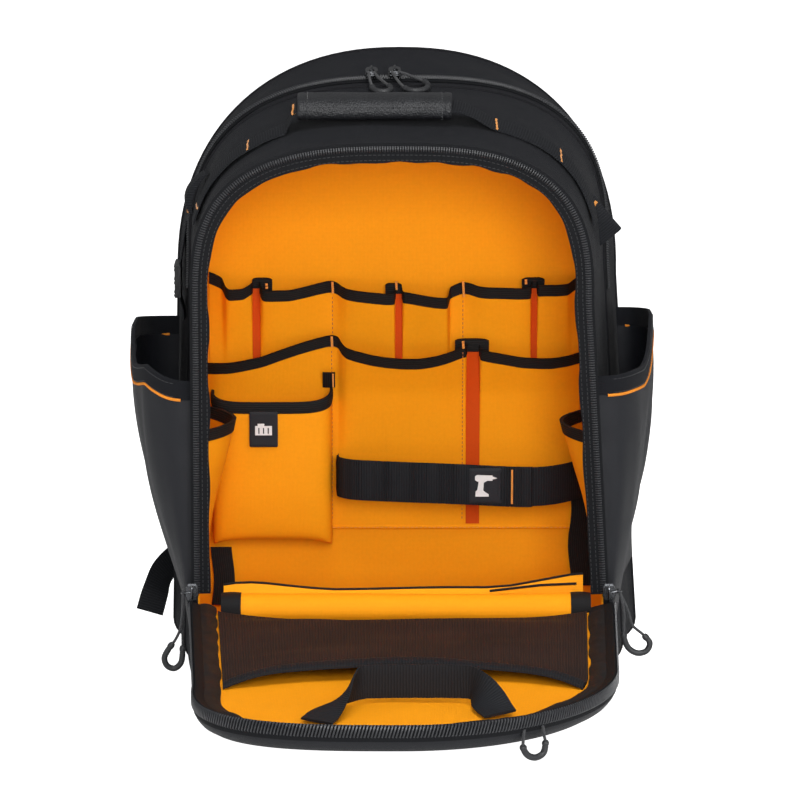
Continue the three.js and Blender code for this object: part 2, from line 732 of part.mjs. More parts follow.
function flapHalf(side, foot) {
  return archHalf({
    base: FLAP_OUTLINE[`${side}Base`] * FLAP_WIDTH / 2,
    shoulder: FLAP_OUTLINE[`${side}Shoulder`] * FLAP_WIDTH / 2,
    foot,
    rise: FLAP_OUTLINE[`${side}Rise`] * FLAP_LENGTH,
    top: FLAP_LENGTH,
    crown: FLAP_OUTLINE[`${side}Crown`],
  }, SIDE_STEPS, CROWN_STEPS);
}

// Open outline of the flap as x and the distance from the fold.
function flapArch(foot) {
  return joinHalves(flapHalf('left', foot), flapHalf('right', foot));
}

// The flap rises evenly from the start of its floor to its front end.
const flapRise = (reach) => (
  FLAP_RISE * Math.max(reach - FLOOR_START, 0) / (FLAP_LENGTH - FLOOR_START)
);

const flapPoint = ([x, reach], z) => [x, FLAP_BACK - reach, z + flapRise(reach)];

function flapRing(distance, z, foot) {
  return inset(flapArch(foot), distance, false).map((point) => flapPoint(point, z));
}

// Where the pan's fold ends are, as a share of FLAP_WIDTH, how far the fold sinks below the
// sill and how far the zip and the facing start off the fold.
const FOLD_END = 0.42;
const FOLD_SINK = 2;
const FLAP_ZIP_START = 6;
const FACING_START = 4;

// A closed ring of the pan. Its edge along the fold runs lower, under the lip.
function panRing(distance, z, foldHeight) {
  const end = FLAP_WIDTH * FOLD_END - distance;
  const loop = [...flapArch(0), [end, 0], [-end, 0]];
  const last = loop.length - 2;
  return inset(loop, distance, true).map((point, place) => (
    flapPoint(point, place < last ? z : Math.min(z, foldHeight))
  ));
}

function addFlap() {
  const rim = FLAP_RIM - GAP;
  const fold = SILL_HEIGHT - 2 * GAP;
  const panSkin = (thickness) => FLAP_PROFILE.map((row) => panRing(
    row.inset * FLAP_WIDTH / 2 + thickness,
    rim - row.drop * (FLAP_DEPTH - thickness),
    fold - row.drop * FOLD_SINK,
  ));
  add('flap_shell', pan(panSkin(0), panSkin(SHELL_WALL)), BLACK_CLOTH);
  const edge = FLAP_ZIP_WIDTH - ZIP_OVERHANG;
  const tape = (z) => [-ZIP_OVERHANG, edge].map((distance) => flapRing(distance, z, FLAP_ZIP_START));
  add('flap_zip', wall(tape(FLAP_RIM + ZIP_THICKNESS), tape(FLAP_RIM)), WEBBING);
  const floor = FLAP_RIM - FLAP_FLOOR_DROP;
  const inner = edge + GAP + FACING_WIDTH;
  const facing = (lower) => [
    flapRing(edge + GAP, FLAP_RIM - lower, FACING_START),
    flapRing(inner, floor - lower, FACING_START),
  ];
  add('flap_facing', wall(facing(0), facing(POCKET_WALL)), BLACK_CLOTH);
  const floorLoop = inset(flapArch(FLOOR_START), inner + GAP, false);
  const level = (z) => floorLoop.map((point) => flapPoint(point, z));
  add('flap_lining', loft([level(floor - POCKET_WALL), level(floor)]), ORANGE_CLOTH);
}

// Net pocket over the flap's floor: reach is a share of FLAP_LENGTH.
const FLOOR_START = LIP_RADIUS + 3;
const MESH_MOUTH = { middle: 0.56, corner: 0.08, power: 2.2 };
const MESH_TENT = { lip: 0.35, power: 4 };
const MESH_COLUMNS = 12;

function flapHalfWidth(side, reach) {
  const half = flapHalf(side, 0);
  for (let place = 1; place < half.length; place += 1) {
    const [one, two] = [half[place - 1], half[place]];
    if (reach >= one[1] && reach <= two[1] && two[1] > one[1]) {
      return mix(one[0], two[0], (reach - one[1]) / (two[1] - one[1]));
    }
  }
  return 0;
}

// A point of the net: across runs from -1 to 1, along from the lip to the mouth, past is a
// distance beyond the mouth and lift a height over the net's lower side.
function meshPoint(across, along, past, lift) {
  const { middle, corner, power } = MESH_MOUTH;
  const mouth = (middle + corner * Math.abs(across) ** power) * FLAP_LENGTH;
  const reach = mix(FLOOR_START + 1, mouth, along) + past;
  const side = across < 0 ? 'left' : 'right';
  const margin = FLAP_ZIP_WIDTH + FACING_WIDTH + 2 * GAP;
  const half = flapHalfWidth(side, reach) - margin;
  const rise = MESH_RISE * (1 - Math.abs(across) ** MESH_TENT.power) * mix(MESH_TENT.lip, 1, along);
  const floor = FLAP_RIM - FLAP_FLOOR_DROP + GAP;
  return flapPoint([across * half, reach], floor + rise + lift);
}

function meshGrid(alongs, pasts, lift) {
  return alongs.map((along, row) => shares(MESH_COLUMNS).map((share) => (
    meshPoint(2 * share - 1, along, pasts[row], lift)
  )));
}

function addMesh() {
  const net = [0, 0.35, 0.7, 1];
  const flat = [0, 0, 0, 0];
  add('mesh_pocket', wall(meshGrid(net, flat, POCKET_WALL), meshGrid(net, flat, 0)), NET);
  const hem = [GAP, MESH_HEM];
  add('mesh_hem', wall(
    meshGrid([1, 1], hem, POCKET_WALL + BINDING_EXTRA),
    meshGrid([1, 1], hem, 0),
  ), WEBBING);
}

// Webbing loop on the flap: its feet lie flat on the floor and its bar stands on edge.
// across is a share of half of FLAP_WIDTH, reach of FLAP_LENGTH, lift of FLAP_STRAP_WIDTH and
// turn of a right angle.
const FLAP_STRAP = [
  { across: -0.36, reach: 0.94, lift: 0.0625, turn: 0 },
  { across: -0.335, reach: 0.915, lift: 0.125, turn: 0.04 },
  { across: -0.28, reach: 0.865, lift: 0.3333, turn: 0.3 },
  { across: -0.215, reach: 0.815, lift: 0.5167, turn: 0.75 },
  { across: -0.165, reach: 0.787, lift: 0.6042, turn: 1 },
  { across: -0.08, reach: 0.778, lift: 0.6042, turn: 1 },
  { across: 0.08, reach: 0.776, lift: 0.6042, turn: 1 },
  { across: 0.24, reach: 0.778, lift: 0.6042, turn: 1 },
  { across: 0.315, reach: 0.788, lift: 0.6042, turn: 1 },
  { across: 0.345, reach: 0.81, lift: 0.5167, turn: 0.75 },
  { across: 0.38, reach: 0.84, lift: 0.3583, turn: 0.3 },
  { across: 0.415, reach: 0.872, lift: 0.1667, turn: 0.06 },
  { across: 0.435, reach: 0.892, lift: 0.0833, turn: 0 },
];

function addFlapStrap() {
  const floor = FLAP_RIM - FLAP_FLOOR_DROP + WEBBING_WALL / 2;
  const stations = FLAP_STRAP.map((row) => {
    const angle = row.turn * Math.PI / 2;
    return {
      at: flapPoint(
        [row.across * FLAP_WIDTH / 2, row.reach * FLAP_LENGTH],
        floor + row.lift * FLAP_STRAP_WIDTH,
      ),
      across: [Math.cos(angle), 0, Math.sin(angle)],
    };
  });
  add('flap_strap', strip(stations, FLAP_STRAP_WIDTH, WEBBING_WALL), WEBBING);
}

// Tool lip on the sill: a padded roll with a black band round each end.
const LIP = { left: -0.651, right: 0.704, band: 0.085 };
const LIP_SIDES = 16;

function superRing(halfWidth, halfHeight, power, count) {
  return shares(count).slice(0, -1).map((share) => {
    const angle = (share + 0.5 / count) * 2 * Math.PI;
    const [c, s] = [Math.cos(angle), Math.sin(angle)];
    return [
      halfWidth * Math.sign(c) * Math.abs(c) ** (2 / power),
      halfHeight * Math.sign(s) * Math.abs(s) ** (2 / power),
    ];
  });
}

function addLip() {
  const z = SILL_HEIGHT + GAP + LIP_RADIUS;
  const disc = (x, radius) => (
    superRing(radius, radius, 2, LIP_SIDES).map(([y, up]) => [x, FRONT + y, z + up])
  );
  const left = LIP.left * HALF_WIDTH;
  const right = LIP.right * HALF_WIDTH;
  const band = LIP.band * HALF_WIDTH;
  const core = LIP_RADIUS - LIP_BAND;
  add('tool_lip', loft([
    disc(left, core), disc(left + band, core), disc(left + band, LIP_RADIUS),
    disc(right - band, LIP_RADIUS), disc(right - band, core), disc(right, core),
  ]), ORANGE_CLOTH);
  const bandWall = (from, to) => wall(
    [disc(from, LIP_RADIUS), disc(to, LIP_RADIUS)],
    [disc(from, core + GAP), disc(to, core + GAP)],
    true,
  );
  add('lip_band_left', bandWall(left, left + band - GAP), BLACK_CLOTH);
  add('lip_band_right', bandWall(right - band + GAP, right), BLACK_CLOTH);
}

// Handle

// The tacked webbing follows the gusset and rises through the grip. left and the tacks are
// shares of half of BODY_WIDTH, foot is a share of BODY_HEIGHT.
const HANDLE = { left: -0.414, leftTack: -0.47, rightTack: 0.4, foot: 0.77, lift: 1.6 };
const GRIP_SECTION = { power: 2.6, end: 0.93, endLength: 5, sides: 12 };
const GRIP_SLOT = { side: 0.9, face: 0.45, power: 20 };
const RISE_STEPS = 4;

function handleCentre() {
  const middle = HANDLE.left * HALF_WIDTH + GRIP_LENGTH / 2;
  return crownAt(FRONT + HANDLE_SETBACK + GRIP_WIDTH / 2, middle) + HANDLE.lift + GRIP_HEIGHT / 2;
}

// One edge of the webbing: along the gusset, up to the grip, through it and down again.
function topWebbingEdge(edge, lift) {
  const y = FRONT + HANDLE_SETBACK;
  const arch = bodyArch(y);
  const feet = feetAt(y, HANDLE.foot * BODY_HEIGHT);
  const left = HANDLE.left * HALF_WIDTH;
  const tacks = [HANDLE.leftTack, HANDLE.rightTack].map((share) => share * HALF_WIDTH);
  const places = tacks.map((x) => placeAt(arch, 0, x, SIDE_STEPS));
  const rises = shares(RISE_STEPS).flatMap((share) => [
    { x: mix(tacks[0], left, share), share },
    { x: mix(tacks[1], left + GRIP_LENGTH, share), share },
  ]).sort((one, two) => one.x - two.x);
  const depth = y + edge * WEBBING_WIDTH / 2;
  const path = inset(bodyArch(depth), -GAP - lift, false);
  const raised = rises.map(({ x, share }) => {
    const place = placeAt(path, 0, x, SIDE_STEPS);
    const seat = stretch(path, place, place)[0][1];
    const level = handleCentre() - WEBBING_WALL / 2 + lift;
    return [x, mix(seat, level, THREE.MathUtils.smoothstep(share, 0, 1))];
  });
  const low = stretch(path, feet[0], places[0]).slice(0, -1);
  const high = stretch(path, places[1], feet[1]).slice(1);
  return [...low, ...raised, ...high].map(([x, z]) => [x, depth, z]);
}

function addHandle() {
  const webbing = (lift) => [topWebbingEdge(-1, lift), topWebbingEdge(1, lift)];
  add('top_webbing', wall(webbing(WEBBING_WALL), webbing(0)), WEBBING);
  const { power, end, endLength, sides } = GRIP_SECTION;
  const left = HANDLE.left * HALF_WIDTH;
  const right = left + GRIP_LENGTH;
  const place = (x, section) => section.map(([across, up]) => (
    [x, FRONT + HANDLE_SETBACK + across, handleCentre() + up]
  ));
  const skin = (size) => superRing(GRIP_WIDTH / 2 * size, GRIP_HEIGHT / 2 * size, power, sides);
  const slot = superRing(
    WEBBING_WIDTH / 2 + GRIP_SLOT.side,
    WEBBING_WALL / 2 + GRIP_SLOT.face,
    GRIP_SLOT.power,
    sides,
  );
  const stations = [
    { x: left, size: end },
    { x: left + endLength, size: 1 },
    { x: right - endLength, size: 1 },
    { x: right, size: end },
  ];
  add('handle_grip', wall(
    stations.map(({ x, size }) => place(x, skin(size))),
    stations.map(({ x }) => place(x, slot)),
    true,
  ), LEATHER);
}

// Small webbing pieces on the gusset: low and high are shares of BODY_HEIGHT, out and width
// of WEBBING_WIDTH, setback of BODY_DEPTH. out is how far the fold stands off and inner is
// how much of it is filled.
const TAB_FOLD = 0.8;
const TAB_STEPS = 8;
const GUSSET_TABS = {
  webbing_tab_right: { hand: 1, low: 0.713, high: 0.77, out: 0.52, setback: 0.45, width: 0.8, inner: 0.9 },
  webbing_loop_left: { hand: -1, low: 0.77, high: 0.835, out: 0.52, setback: 0.45, width: 0.8, inner: 0 },
};

function addTabs() {
  for (const [name, part] of Object.entries(GUSSET_TABS)) {
    const y = FRONT + part.setback * BODY_DEPTH;
    const grid = (outer) => [-1, 1].map((edge) => shares(TAB_STEPS).map((share) => {
      const z = mix(part.high, part.low, share) * BODY_HEIGHT;
      const depth = y + edge * part.width * WEBBING_WIDTH / 2;
      const fold = Math.sin(share * Math.PI) ** TAB_FOLD * part.out * WEBBING_WIDTH;
      const stand = outer ? fold + WEBBING_WALL : fold * (1 - part.inner);
      return [part.hand * (sideAt(depth, z, part.hand) + 2 * GAP + stand), depth, z];
    }));
    add(name, wall(grid(true), grid(false)), WEBBING);
  }
}

// A flat moulded piece with slots, set on two directions.
function moulded(outline, slots, thickness, origin, across, up) {
  const shape = new THREE.Shape(outline.map(([u, v]) => new THREE.Vector2(u, v)));
  for (const slot of slots) {
    shape.holes.push(new THREE.Path(slot.map(([u, v]) => new THREE.Vector2(u, v))));
  }
  const geometry = new THREE.ExtrudeGeometry(shape, { depth: thickness, bevelEnabled: false });
  const u = new THREE.Vector3(...across).normalize();
  const v = new THREE.Vector3(...up);
  v.addScaledVector(u, -v.dot(u)).normalize();
  const basis = new THREE.Matrix4().makeBasis(u, v, u.clone().cross(v));
  return geometry.applyMatrix4(basis).translate(...origin);
}

const box = (width, height, middle = 0) => [
  [-width / 2, middle - height / 2],
  [width / 2, middle - height / 2],
  [width / 2, middle + height / 2],
  [-width / 2, middle + height / 2],
];

// An upright piece with two slots for webbing: slotAt is a share of its height.
function slotted({ width, height, thickness, slot, border, slotAt }, origin, across) {
  const slots = [-1, 1].map((side) => box(width - 2 * border, slot, side * slotAt * height));
  return moulded(box(width, height), slots, thickness, origin, across, [0, 0, 1]);
}

const BUCKLE = {
  width: 27, height: 26, thickness: 5, slot: 4, border: 3.5, slotAt: 0.2, setback: 0.77, middle: 0.632,
};

function addSideBuckle() {
  const y = FRONT + BUCKLE.setback * BODY_DEPTH;
  const low = BUCKLE.middle * BODY_HEIGHT - BUCKLE.height / 2;
  const x = -(Math.max(
    sideAt(y + BUCKLE.width / 2, low, -1),
    sideAt(y + BUCKLE.width / 2, low + BUCKLE.height, -1),
  ) + GAP);
  const place = [x, y, BUCKLE.middle * BODY_HEIGHT];
  add('side_buckle_left', slotted(BUCKLE, place, [0, -1, 0]), PLASTIC);
}

// Shoulder straps on the back: height is a share of BODY_HEIGHT, spread of half of
// BODY_WIDTH, stand is the gap to the back panel in STRAP_THICKNESS, the last columns are
// shares of the strap's width and thickness.
const SHOULDER_STRAP = [
  { height: 0.9, spread: 0.25, stand: 0, width: 0.94, thick: 0.6 },
  { height: 0.88, spread: 0.27, stand: 0.75, width: 1, thick: 0.85 },
  { height: 0.83, spread: 0.3, stand: 1.8333, width: 1, thick: 1 },
  { height: 0.74, spread: 0.34, stand: 2.5, width: 1, thick: 1 },
  { height: 0.6, spread: 0.39, stand: 2.75, width: 1, thick: 1 },
  { height: 0.45, spread: 0.45, stand: 2.4167, width: 0.97, thick: 1 },
  { height: 0.33, spread: 0.51, stand: 1.6667, width: 0.9, thick: 1 },
  { height: 0.26, spread: 0.56, stand: 1.0833, width: 0.72, thick: 0.8 },
  { height: 0.245, spread: 0.575, stand: 1, width: 0.5, thick: 0.6 },
];
const LOCK = { width: 34, height: 20, thickness: 5, slot: 4, border: 3.5, slotAt: 0.222 };
const STRAP_POWER = 3.5;
const STRAP_SIDES = 12;

// Lower webbing: a leg from the back panel's corner, a turn at the lock and a free tail.
// across is a share of half of BODY_WIDTH, stand is measured off the back panel in
// STRAP_THICKNESS.
const LOWER_WEBBING = [
  { across: 0.82, stand: 0.1333, height: 0.075, lean: 0.5 },
  { across: 0.74, stand: 0.4167, height: 0.115, lean: 0.5 },
  { across: 0.62, stand: 0.7917, height: 0.155, lean: 0.2 },
  { across: 0.585, stand: 1.0417, height: 0.186, lean: 0 },
  { across: 0.585, stand: 1.25, height: 0.194, lean: 0 },
  { across: 0.586, stand: 1.4583, height: 0.186, lean: 0 },
];
const WEBBING_TAILS = {
  left: [
    { across: 0.59, stand: 1.625, height: 0.165, lean: 0 },
    { across: 0.63, stand: 1.8333, height: 0.146, lean: 0.5 },
    { across: 0.8, stand: 2, height: 0.136, lean: 1.2 },
    { across: 0.94, stand: 1.5833, height: 0.13, lean: 1.3 },
    { across: 1.03, stand: 0.3333, height: 0.106, lean: 1.1 },
    { across: 1.06, stand: -0.6667, height: 0.078, lean: 0.8 },
    { across: 1.085, stand: -1.1667, height: 0.045, lean: 0.5 },
  ],
  right: [
    { across: 0.6, stand: 1.6667, height: 0.165, lean: 0 },
    { across: 0.605, stand: 2, height: 0.13, lean: 0 },
    { across: 0.6, stand: 1.9167, height: 0.09, lean: 0 },
  ],
};

function addShoulderStrap(side, hand) {
  const last = SHOULDER_STRAP.length - 1;
  const rings = SHOULDER_STRAP.map((row, place) => {
    const before = SHOULDER_STRAP[Math.max(place - 1, 0)];
    const after = SHOULDER_STRAP[Math.min(place + 1, last)];
    const rise = [
      (after.stand - before.stand) * STRAP_THICKNESS,
      (after.height - before.height) * BODY_HEIGHT,
    ];
    const length = Math.hypot(...rise);
    const thick = row.thick * STRAP_THICKNESS;
    const lean = Math.abs(rise[1]) / length;
    const y = BACK + row.stand * STRAP_THICKNESS + GAP + thick / 2 * lean;
    return superRing(row.width * STRAP_WIDTH / 2, thick / 2, STRAP_POWER, STRAP_SIDES).map(([u, v]) => [
      hand * row.spread * HALF_WIDTH + u,
      y + v * lean,
      row.height * BODY_HEIGHT + v * rise[0] / length,
    ]);
  });
  add(`shoulder_strap_${side}`, loft(rings), BLACK_CLOTH);
}

function addLock(side, hand) {
  const end = SHOULDER_STRAP.at(-1);
  const top = end.height * BODY_HEIGHT - 2 * GAP;
  const y = BACK + end.stand * STRAP_THICKNESS + LOCK.thickness + GAP;
  const place = [hand * end.spread * HALF_WIDTH, y, top - LOCK.height / 2];
  add(`ladder_lock_${side}`, slotted(LOCK, place, [1, 0, 0]), PLASTIC);
}

function addLowerWebbing(side, hand) {
  const stations = [...LOWER_WEBBING, ...WEBBING_TAILS[side]].map((row) => ({
    at: [
      hand * row.across * HALF_WIDTH,
      BACK + row.stand * STRAP_THICKNESS,
      row.height * BODY_HEIGHT,
    ],
    across: [Math.cos(row.lean), 0, hand * Math.sin(row.lean)],
  }));
  add(`lower_webbing_${side}`, strip(stations, LOWER_WEBBING_WIDTH, POCKET_WALL), WEBBING);
}

function addHarness() {
  for (const [side, hand] of [['left', -1], ['right', 1]]) {
    addShoulderStrap(side, hand);
    addLock(side, hand);
    addLowerWebbing(side, hand);
  }
}

// Zip sliders and their pulls

const SLIDER = {
  width: 10, height: 12, thickness: 6, rearThickness: 5, shoulder: 0.55, tip: 0.6,
};
const REAR_SLIDERS = { left: -0.118, right: -0.022 };

function addSliders() {
  const corners = box(SLIDER.width, SLIDER.height).flatMap(([u, v]) => (
    [[u, v * SLIDER.shoulder], [u * SLIDER.tip, v]]
  )).sort((a, b) => Math.atan2(a[1], a[0]) - Math.atan2(b[1], b[0]));
  const low = FLAP_RIM + ZIP_THICKNESS + GAP;
  for (const [side, hand] of [['left', -1], ['right', 1]]) {
    const x = hand * (sideAt(FRONT, low, hand) + ZIP_OVERHANG / 2);
    add(`slider_front_${side}`, moulded(corners, [], SLIDER.thickness,
      [x, FRONT - ZIP_THICKNESS - 2 * GAP, low + SLIDER.height / 2], [1, 0, 0], [0, 0, 1]), METAL);
  }
  for (const [side, share] of Object.entries(REAR_SLIDERS)) {
    const place = share * HALF_WIDTH;
    const heights = [-1, 1].map((edge) => crownAt(zipSeat + edge * REAR_ZIP_WIDTH / 2, place));
    const seat = (heights[0] + heights[1]) / 2 + ZIP_THICKNESS + 3 * GAP;
    add(`slider_rear_${side}`, moulded(corners, [], SLIDER.rearThickness,
      [place, zipSeat, seat], [1, 0, 0], [0, REAR_ZIP_WIDTH, heights[1] - heights[0]]), METAL);
  }
}

// Loops of cord on the sliders and on the flap's outer pocket, as chosen points. The grip
// covers each loop between two shares of its length.
const PULLS = {
  front_left: { from: 0.33, to: 0.68, points: [
    [-163.7, -118.9, 100], [-164.2, -119.4, 90], [-164.8, -119.8, 79], [-166.4, -120, 69],
    [-170, -120.3, 61], [-175.4, -120.6, 53.4], [-178.6, -120.6, 46.4], [-176.4, -120.5, 40.2],
    [-171, -120.2, 38.2], [-166.2, -119.8, 42.4], [-164.8, -119.2, 51], [-164.6, -117.6, 65],
    [-163.8, -116.6, 78],
    [-163.4, -116.2, 90], [-163.7, -115.9, 99],
  ] },
  front_right: { from: 0.3, to: 0.66, points: [
    [164.8, -118.9, 101], [167.6, -119.3, 92], [169.4, -119.5, 81], [169.4, -119.7, 70],
    [170, -120, 61], [173.4, -120.3, 54], [180, -120.6, 50.4], [186.8, -120.4, 52.2],
    [189.2, -119.9, 58.2], [184, -119, 64.6], [176, -117.6, 71.5], [173, -116.8, 81],
    [168.6, -116.4, 91.6], [164.8, -116.1, 99.6],
  ] },
  rear_left: { from: 0.3, to: 0.7, points: [
    [-24, 31.5, 471], [-23.4, 24, 467.6], [-21.8, 12, 464], [-20.2, 3, 462.2],
    [-16.4, -2, 461.4], [-10.6, -2.4, 461.4], [-7, 3, 462.4], [-10, 13, 464.4],
    [-16, 23.4, 467.6], [-20.2, 31.5, 471],
  ] },
  rear_right: { from: 0.32, to: 0.74, points: [
    [-6, 31, 471.4], [-3.4, 24, 467.8], [1, 12, 464.4], [5, 3, 462.4],
    [11, -1, 461.6], [17.6, 1.4, 462], [21.4, 9, 463.4], [19, 18, 465.4],
    [10, 25, 468.4], [-1.4, 31, 471.6],
  ] },
  flap: { from: 0.22, to: 0.8, points: [
    [85, -450.8, 92], [84.4, -451, 85.1], [84.6, -450, 78.1], [88, -447.6, 72.3],
    [93.4, -444.4, 70], [98.4, -442, 72.3], [99.9, -441.8, 79.3], [99, -442.4, 85.1],
    [98, -442.6, 92],
  ] },
};

const CORD_SIDES = 8;
const GRIP_STATIONS = 9;
const GRIP_REFERENCE = new THREE.Vector3(0.12, 1, 0.3);

function addPulls() {
  for (const [name, pull] of Object.entries(PULLS)) {
    const route = new THREE.CatmullRomCurve3(pull.points.map((point) => new THREE.Vector3(...point)));
    const steps = Math.ceil(route.getLength() / (2 * CORD_DIAMETER));
    const section = new THREE.Shape(superRing(CORD_RADIUS, CORD_RADIUS, 2, CORD_SIDES)
      .map(([u, v]) => new THREE.Vector2(u, v)));
    add(`pull_cord_${name}`, new THREE.ExtrudeGeometry(section, { steps, extrudePath: route }), RUBBER);
    const places = shares(GRIP_STATIONS).map((share) => mix(pull.from, pull.to, share));
    const sleeve = (radius) => places.map((place) => {
      const centre = route.getPointAt(place);
      const along = route.getTangentAt(place);
      const across = GRIP_REFERENCE.clone().cross(along).normalize();
      const up = along.clone().cross(across);
      return superRing(radius, radius, 2, CORD_SIDES).map(([u, v]) => (
        centre.clone().addScaledVector(across, u).addScaledVector(up, v).toArray()
      ));
    });
    const skin = sleeve(PULL_GRIP_DIAMETER / 2);
    add(`pull_grip_${name}`, wall(skin, sleeve(CORD_RADIUS + 2 * GAP), true), RUBBER);
  }
}

addShells();
addBackPanel();
addWalls();
addZips();
addSidePockets();
addPocketRows();
addBatteryPocket();
addTags();
addBelt();
addWallPockets();
addFlap();
addMesh();
addFlapStrap();
addLip();
addHandle();
addTabs();
addSideBuckle();
addHarness();
addSliders();
addPulls();

export default model;
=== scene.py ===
import functools
import json
import math

import bmesh
import bpy
import numpy as np
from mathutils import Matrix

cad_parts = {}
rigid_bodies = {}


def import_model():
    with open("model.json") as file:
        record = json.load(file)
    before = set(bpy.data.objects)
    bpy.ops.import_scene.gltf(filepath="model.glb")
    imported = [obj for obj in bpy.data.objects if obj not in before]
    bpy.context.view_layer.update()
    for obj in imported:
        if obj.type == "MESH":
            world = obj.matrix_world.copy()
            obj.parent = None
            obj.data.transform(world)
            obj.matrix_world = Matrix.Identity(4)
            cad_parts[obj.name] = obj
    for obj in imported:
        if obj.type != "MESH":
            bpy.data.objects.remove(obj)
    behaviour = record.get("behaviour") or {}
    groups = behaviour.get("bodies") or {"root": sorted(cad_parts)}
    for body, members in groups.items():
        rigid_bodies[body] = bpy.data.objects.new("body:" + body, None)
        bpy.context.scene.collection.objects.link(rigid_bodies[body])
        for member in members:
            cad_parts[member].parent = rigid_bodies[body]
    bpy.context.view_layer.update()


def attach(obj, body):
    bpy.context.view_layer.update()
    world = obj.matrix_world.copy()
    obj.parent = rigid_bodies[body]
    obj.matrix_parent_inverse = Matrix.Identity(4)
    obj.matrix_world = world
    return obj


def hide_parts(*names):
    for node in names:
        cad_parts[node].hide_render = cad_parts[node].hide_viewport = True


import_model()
scene = bpy.context.scene

# Studio
# The bag stands on a white floor in a white room. A large softbox behind the camera lights the
# open front, one hangs over the flap and two fill the sides. The camera looks down from far away.
scene.view_settings.view_transform = "Standard"
camera_lens = bpy.data.cameras.new("photo_camera")
camera_lens.lens = 203.2
camera_lens.sensor_width = 36
camera_lens.clip_end = 50
camera = bpy.data.objects.new("photo_camera", camera_lens)
camera.location = (0, -3.4113, 1.0069)
camera.rotation_euler = (math.radians(90 - 13), 0, 0)
scene.collection.objects.link(camera)
scene.camera = camera


def softbox(name, place, target, size, power):
    lamp = bpy.data.lights.new(name, "AREA")
    lamp.shape = "RECTANGLE"
    lamp.size, lamp.size_y = size
    lamp.energy = power
    box = bpy.data.objects.new(name, lamp)
    box.location = place
    way = np.array(target) - np.array(place)
    flat = math.hypot(way[0], way[1])
    box.rotation_euler = (math.atan2(flat, -way[2]), 0, math.atan2(way[1], way[0]) - math.pi / 2)
    scene.collection.objects.link(box)


softbox("front_softbox", (0.35, -3.1, 1.25), (0, 0, 0.24), (1.5, 1.3), 66)
softbox("overhead_softbox", (0.1, -0.9, 2.4), (0, -0.15, 0.25), (1.6, 1.2), 30)
softbox("right_softbox", (1.9, -1.0, 0.9), (0, 0, 0.25), (0.7, 1.3), 7)
softbox("left_softbox", (-1.9, -1.0, 1.0), (0, 0, 0.25), (0.7, 1.3), 6)

room = bpy.data.worlds.new("white_room")
room.use_nodes = True
walls = room.node_tree.nodes["Background"]
walls.inputs["Color"].default_value = (1, 1, 1, 1)
seen = room.node_tree.nodes.new("ShaderNodeLightPath")
glow = room.node_tree.nodes.new("ShaderNodeMath")
glow.operation = "MULTIPLY_ADD"
glow.inputs[1].default_value = 0.74
glow.inputs[2].default_value = 0.26
room.node_tree.links.new(seen.outputs["Is Camera Ray"], glow.inputs[0])
room.node_tree.links.new(glow.outputs[0], walls.inputs["Strength"])
scene.world = room

floor_mesh = bpy.data.meshes.new("floor")
floor_mesh.from_pydata([(-30, -30, 0), (30, -30, 0), (30, 30, 0), (-30, 30, 0)], [], [(0, 1, 2, 3)])
floor = bpy.data.objects.new("floor", floor_mesh)
floor.location = (0, 0, -0.0005)
scene.collection.objects.link(floor)
floor_paint = bpy.data.materials.new("floor_paint")
floor_paint.use_nodes = True
paint = floor_paint.node_tree.nodes["Principled BSDF"]
paint.inputs["Base Color"].default_value = (0.9, 0.9, 0.9, 1)
paint.inputs["Roughness"].default_value = 0.9
paint.inputs["Specular IOR Level"].default_value = 0.1
paint.inputs["Emission Color"].default_value = (1, 1, 1, 1)
floor_seen = floor_paint.node_tree.nodes.new("ShaderNodeLightPath")
floor_glow = floor_paint.node_tree.nodes.new("ShaderNodeMath")
floor_glow.operation = "MULTIPLY"
floor_glow.inputs[1].default_value = 1.0
floor_paint.node_tree.links.new(floor_seen.outputs["Is Camera Ray"], floor_glow.inputs[0])
floor_paint.node_tree.links.new(floor_glow.outputs[0], paint.inputs["Emission Strength"])
floor.data.materials.append(floor_paint)

# Bag shells
# Two shells of padded black polyester, a deep one for the tools and a rear one, each sewn
# from a gusset strip round its outline. The cloth sinks a little between its seams.
HALF_WIDTH = 186.0
HEIGHT = 480.0
DEPTH = 222.0
FRONT = -111.0
BACK = 111.0
MAIN_END = 23.0
REAR_START = 23.3
REAR_END = 95.0
WALL_FACE = 20.0
SHELL_WALL = 3.5
GAP = 0.3
BASE_CORNER = 18.0
OUTLINES = (
    dict(depth=0.0, base=(0.844, 0.876), shoulder=(0.839, 0.774), rise=0.667, top=0.915, crown=(2.85, 2.8)),
    dict(depth=0.676, base=(0.925, 0.957), shoulder=(0.876, 0.855), rise=0.688, top=0.967, crown=(2.6, 2.9)),
    dict(depth=0.928, base=(0.978, 1.022), shoulder=(0.941, 0.914), rise=0.625, top=1.0, crown=(2.25, 2.3)),
)
SIDE_STEPS = 14
CROWN_STEPS = 30


def mix(one, two, share):
    return one + (two - one) * share


def arch_half(base, shoulder, rise, top, crown, foot, side_steps=SIDE_STEPS, crown_steps=CROWN_STEPS):
    """Half of an arch from its foot to its crown, the first column growing outwards."""
    up = np.linspace(foot, rise, side_steps, endpoint=False)
    angle = np.linspace(0, math.pi / 2, crown_steps + 1)
    across = np.cos(angle).clip(0) ** (2 / crown) * shoulder
    high = rise + (top - rise) * np.sin(angle) ** (2 / crown)
    return np.vstack([np.column_stack([mix(base, shoulder, up / rise), up]), np.column_stack([across, high])])


def join_halves(left, right):
    return np.vstack([left * (-1, 1), right[:-1][::-1]])


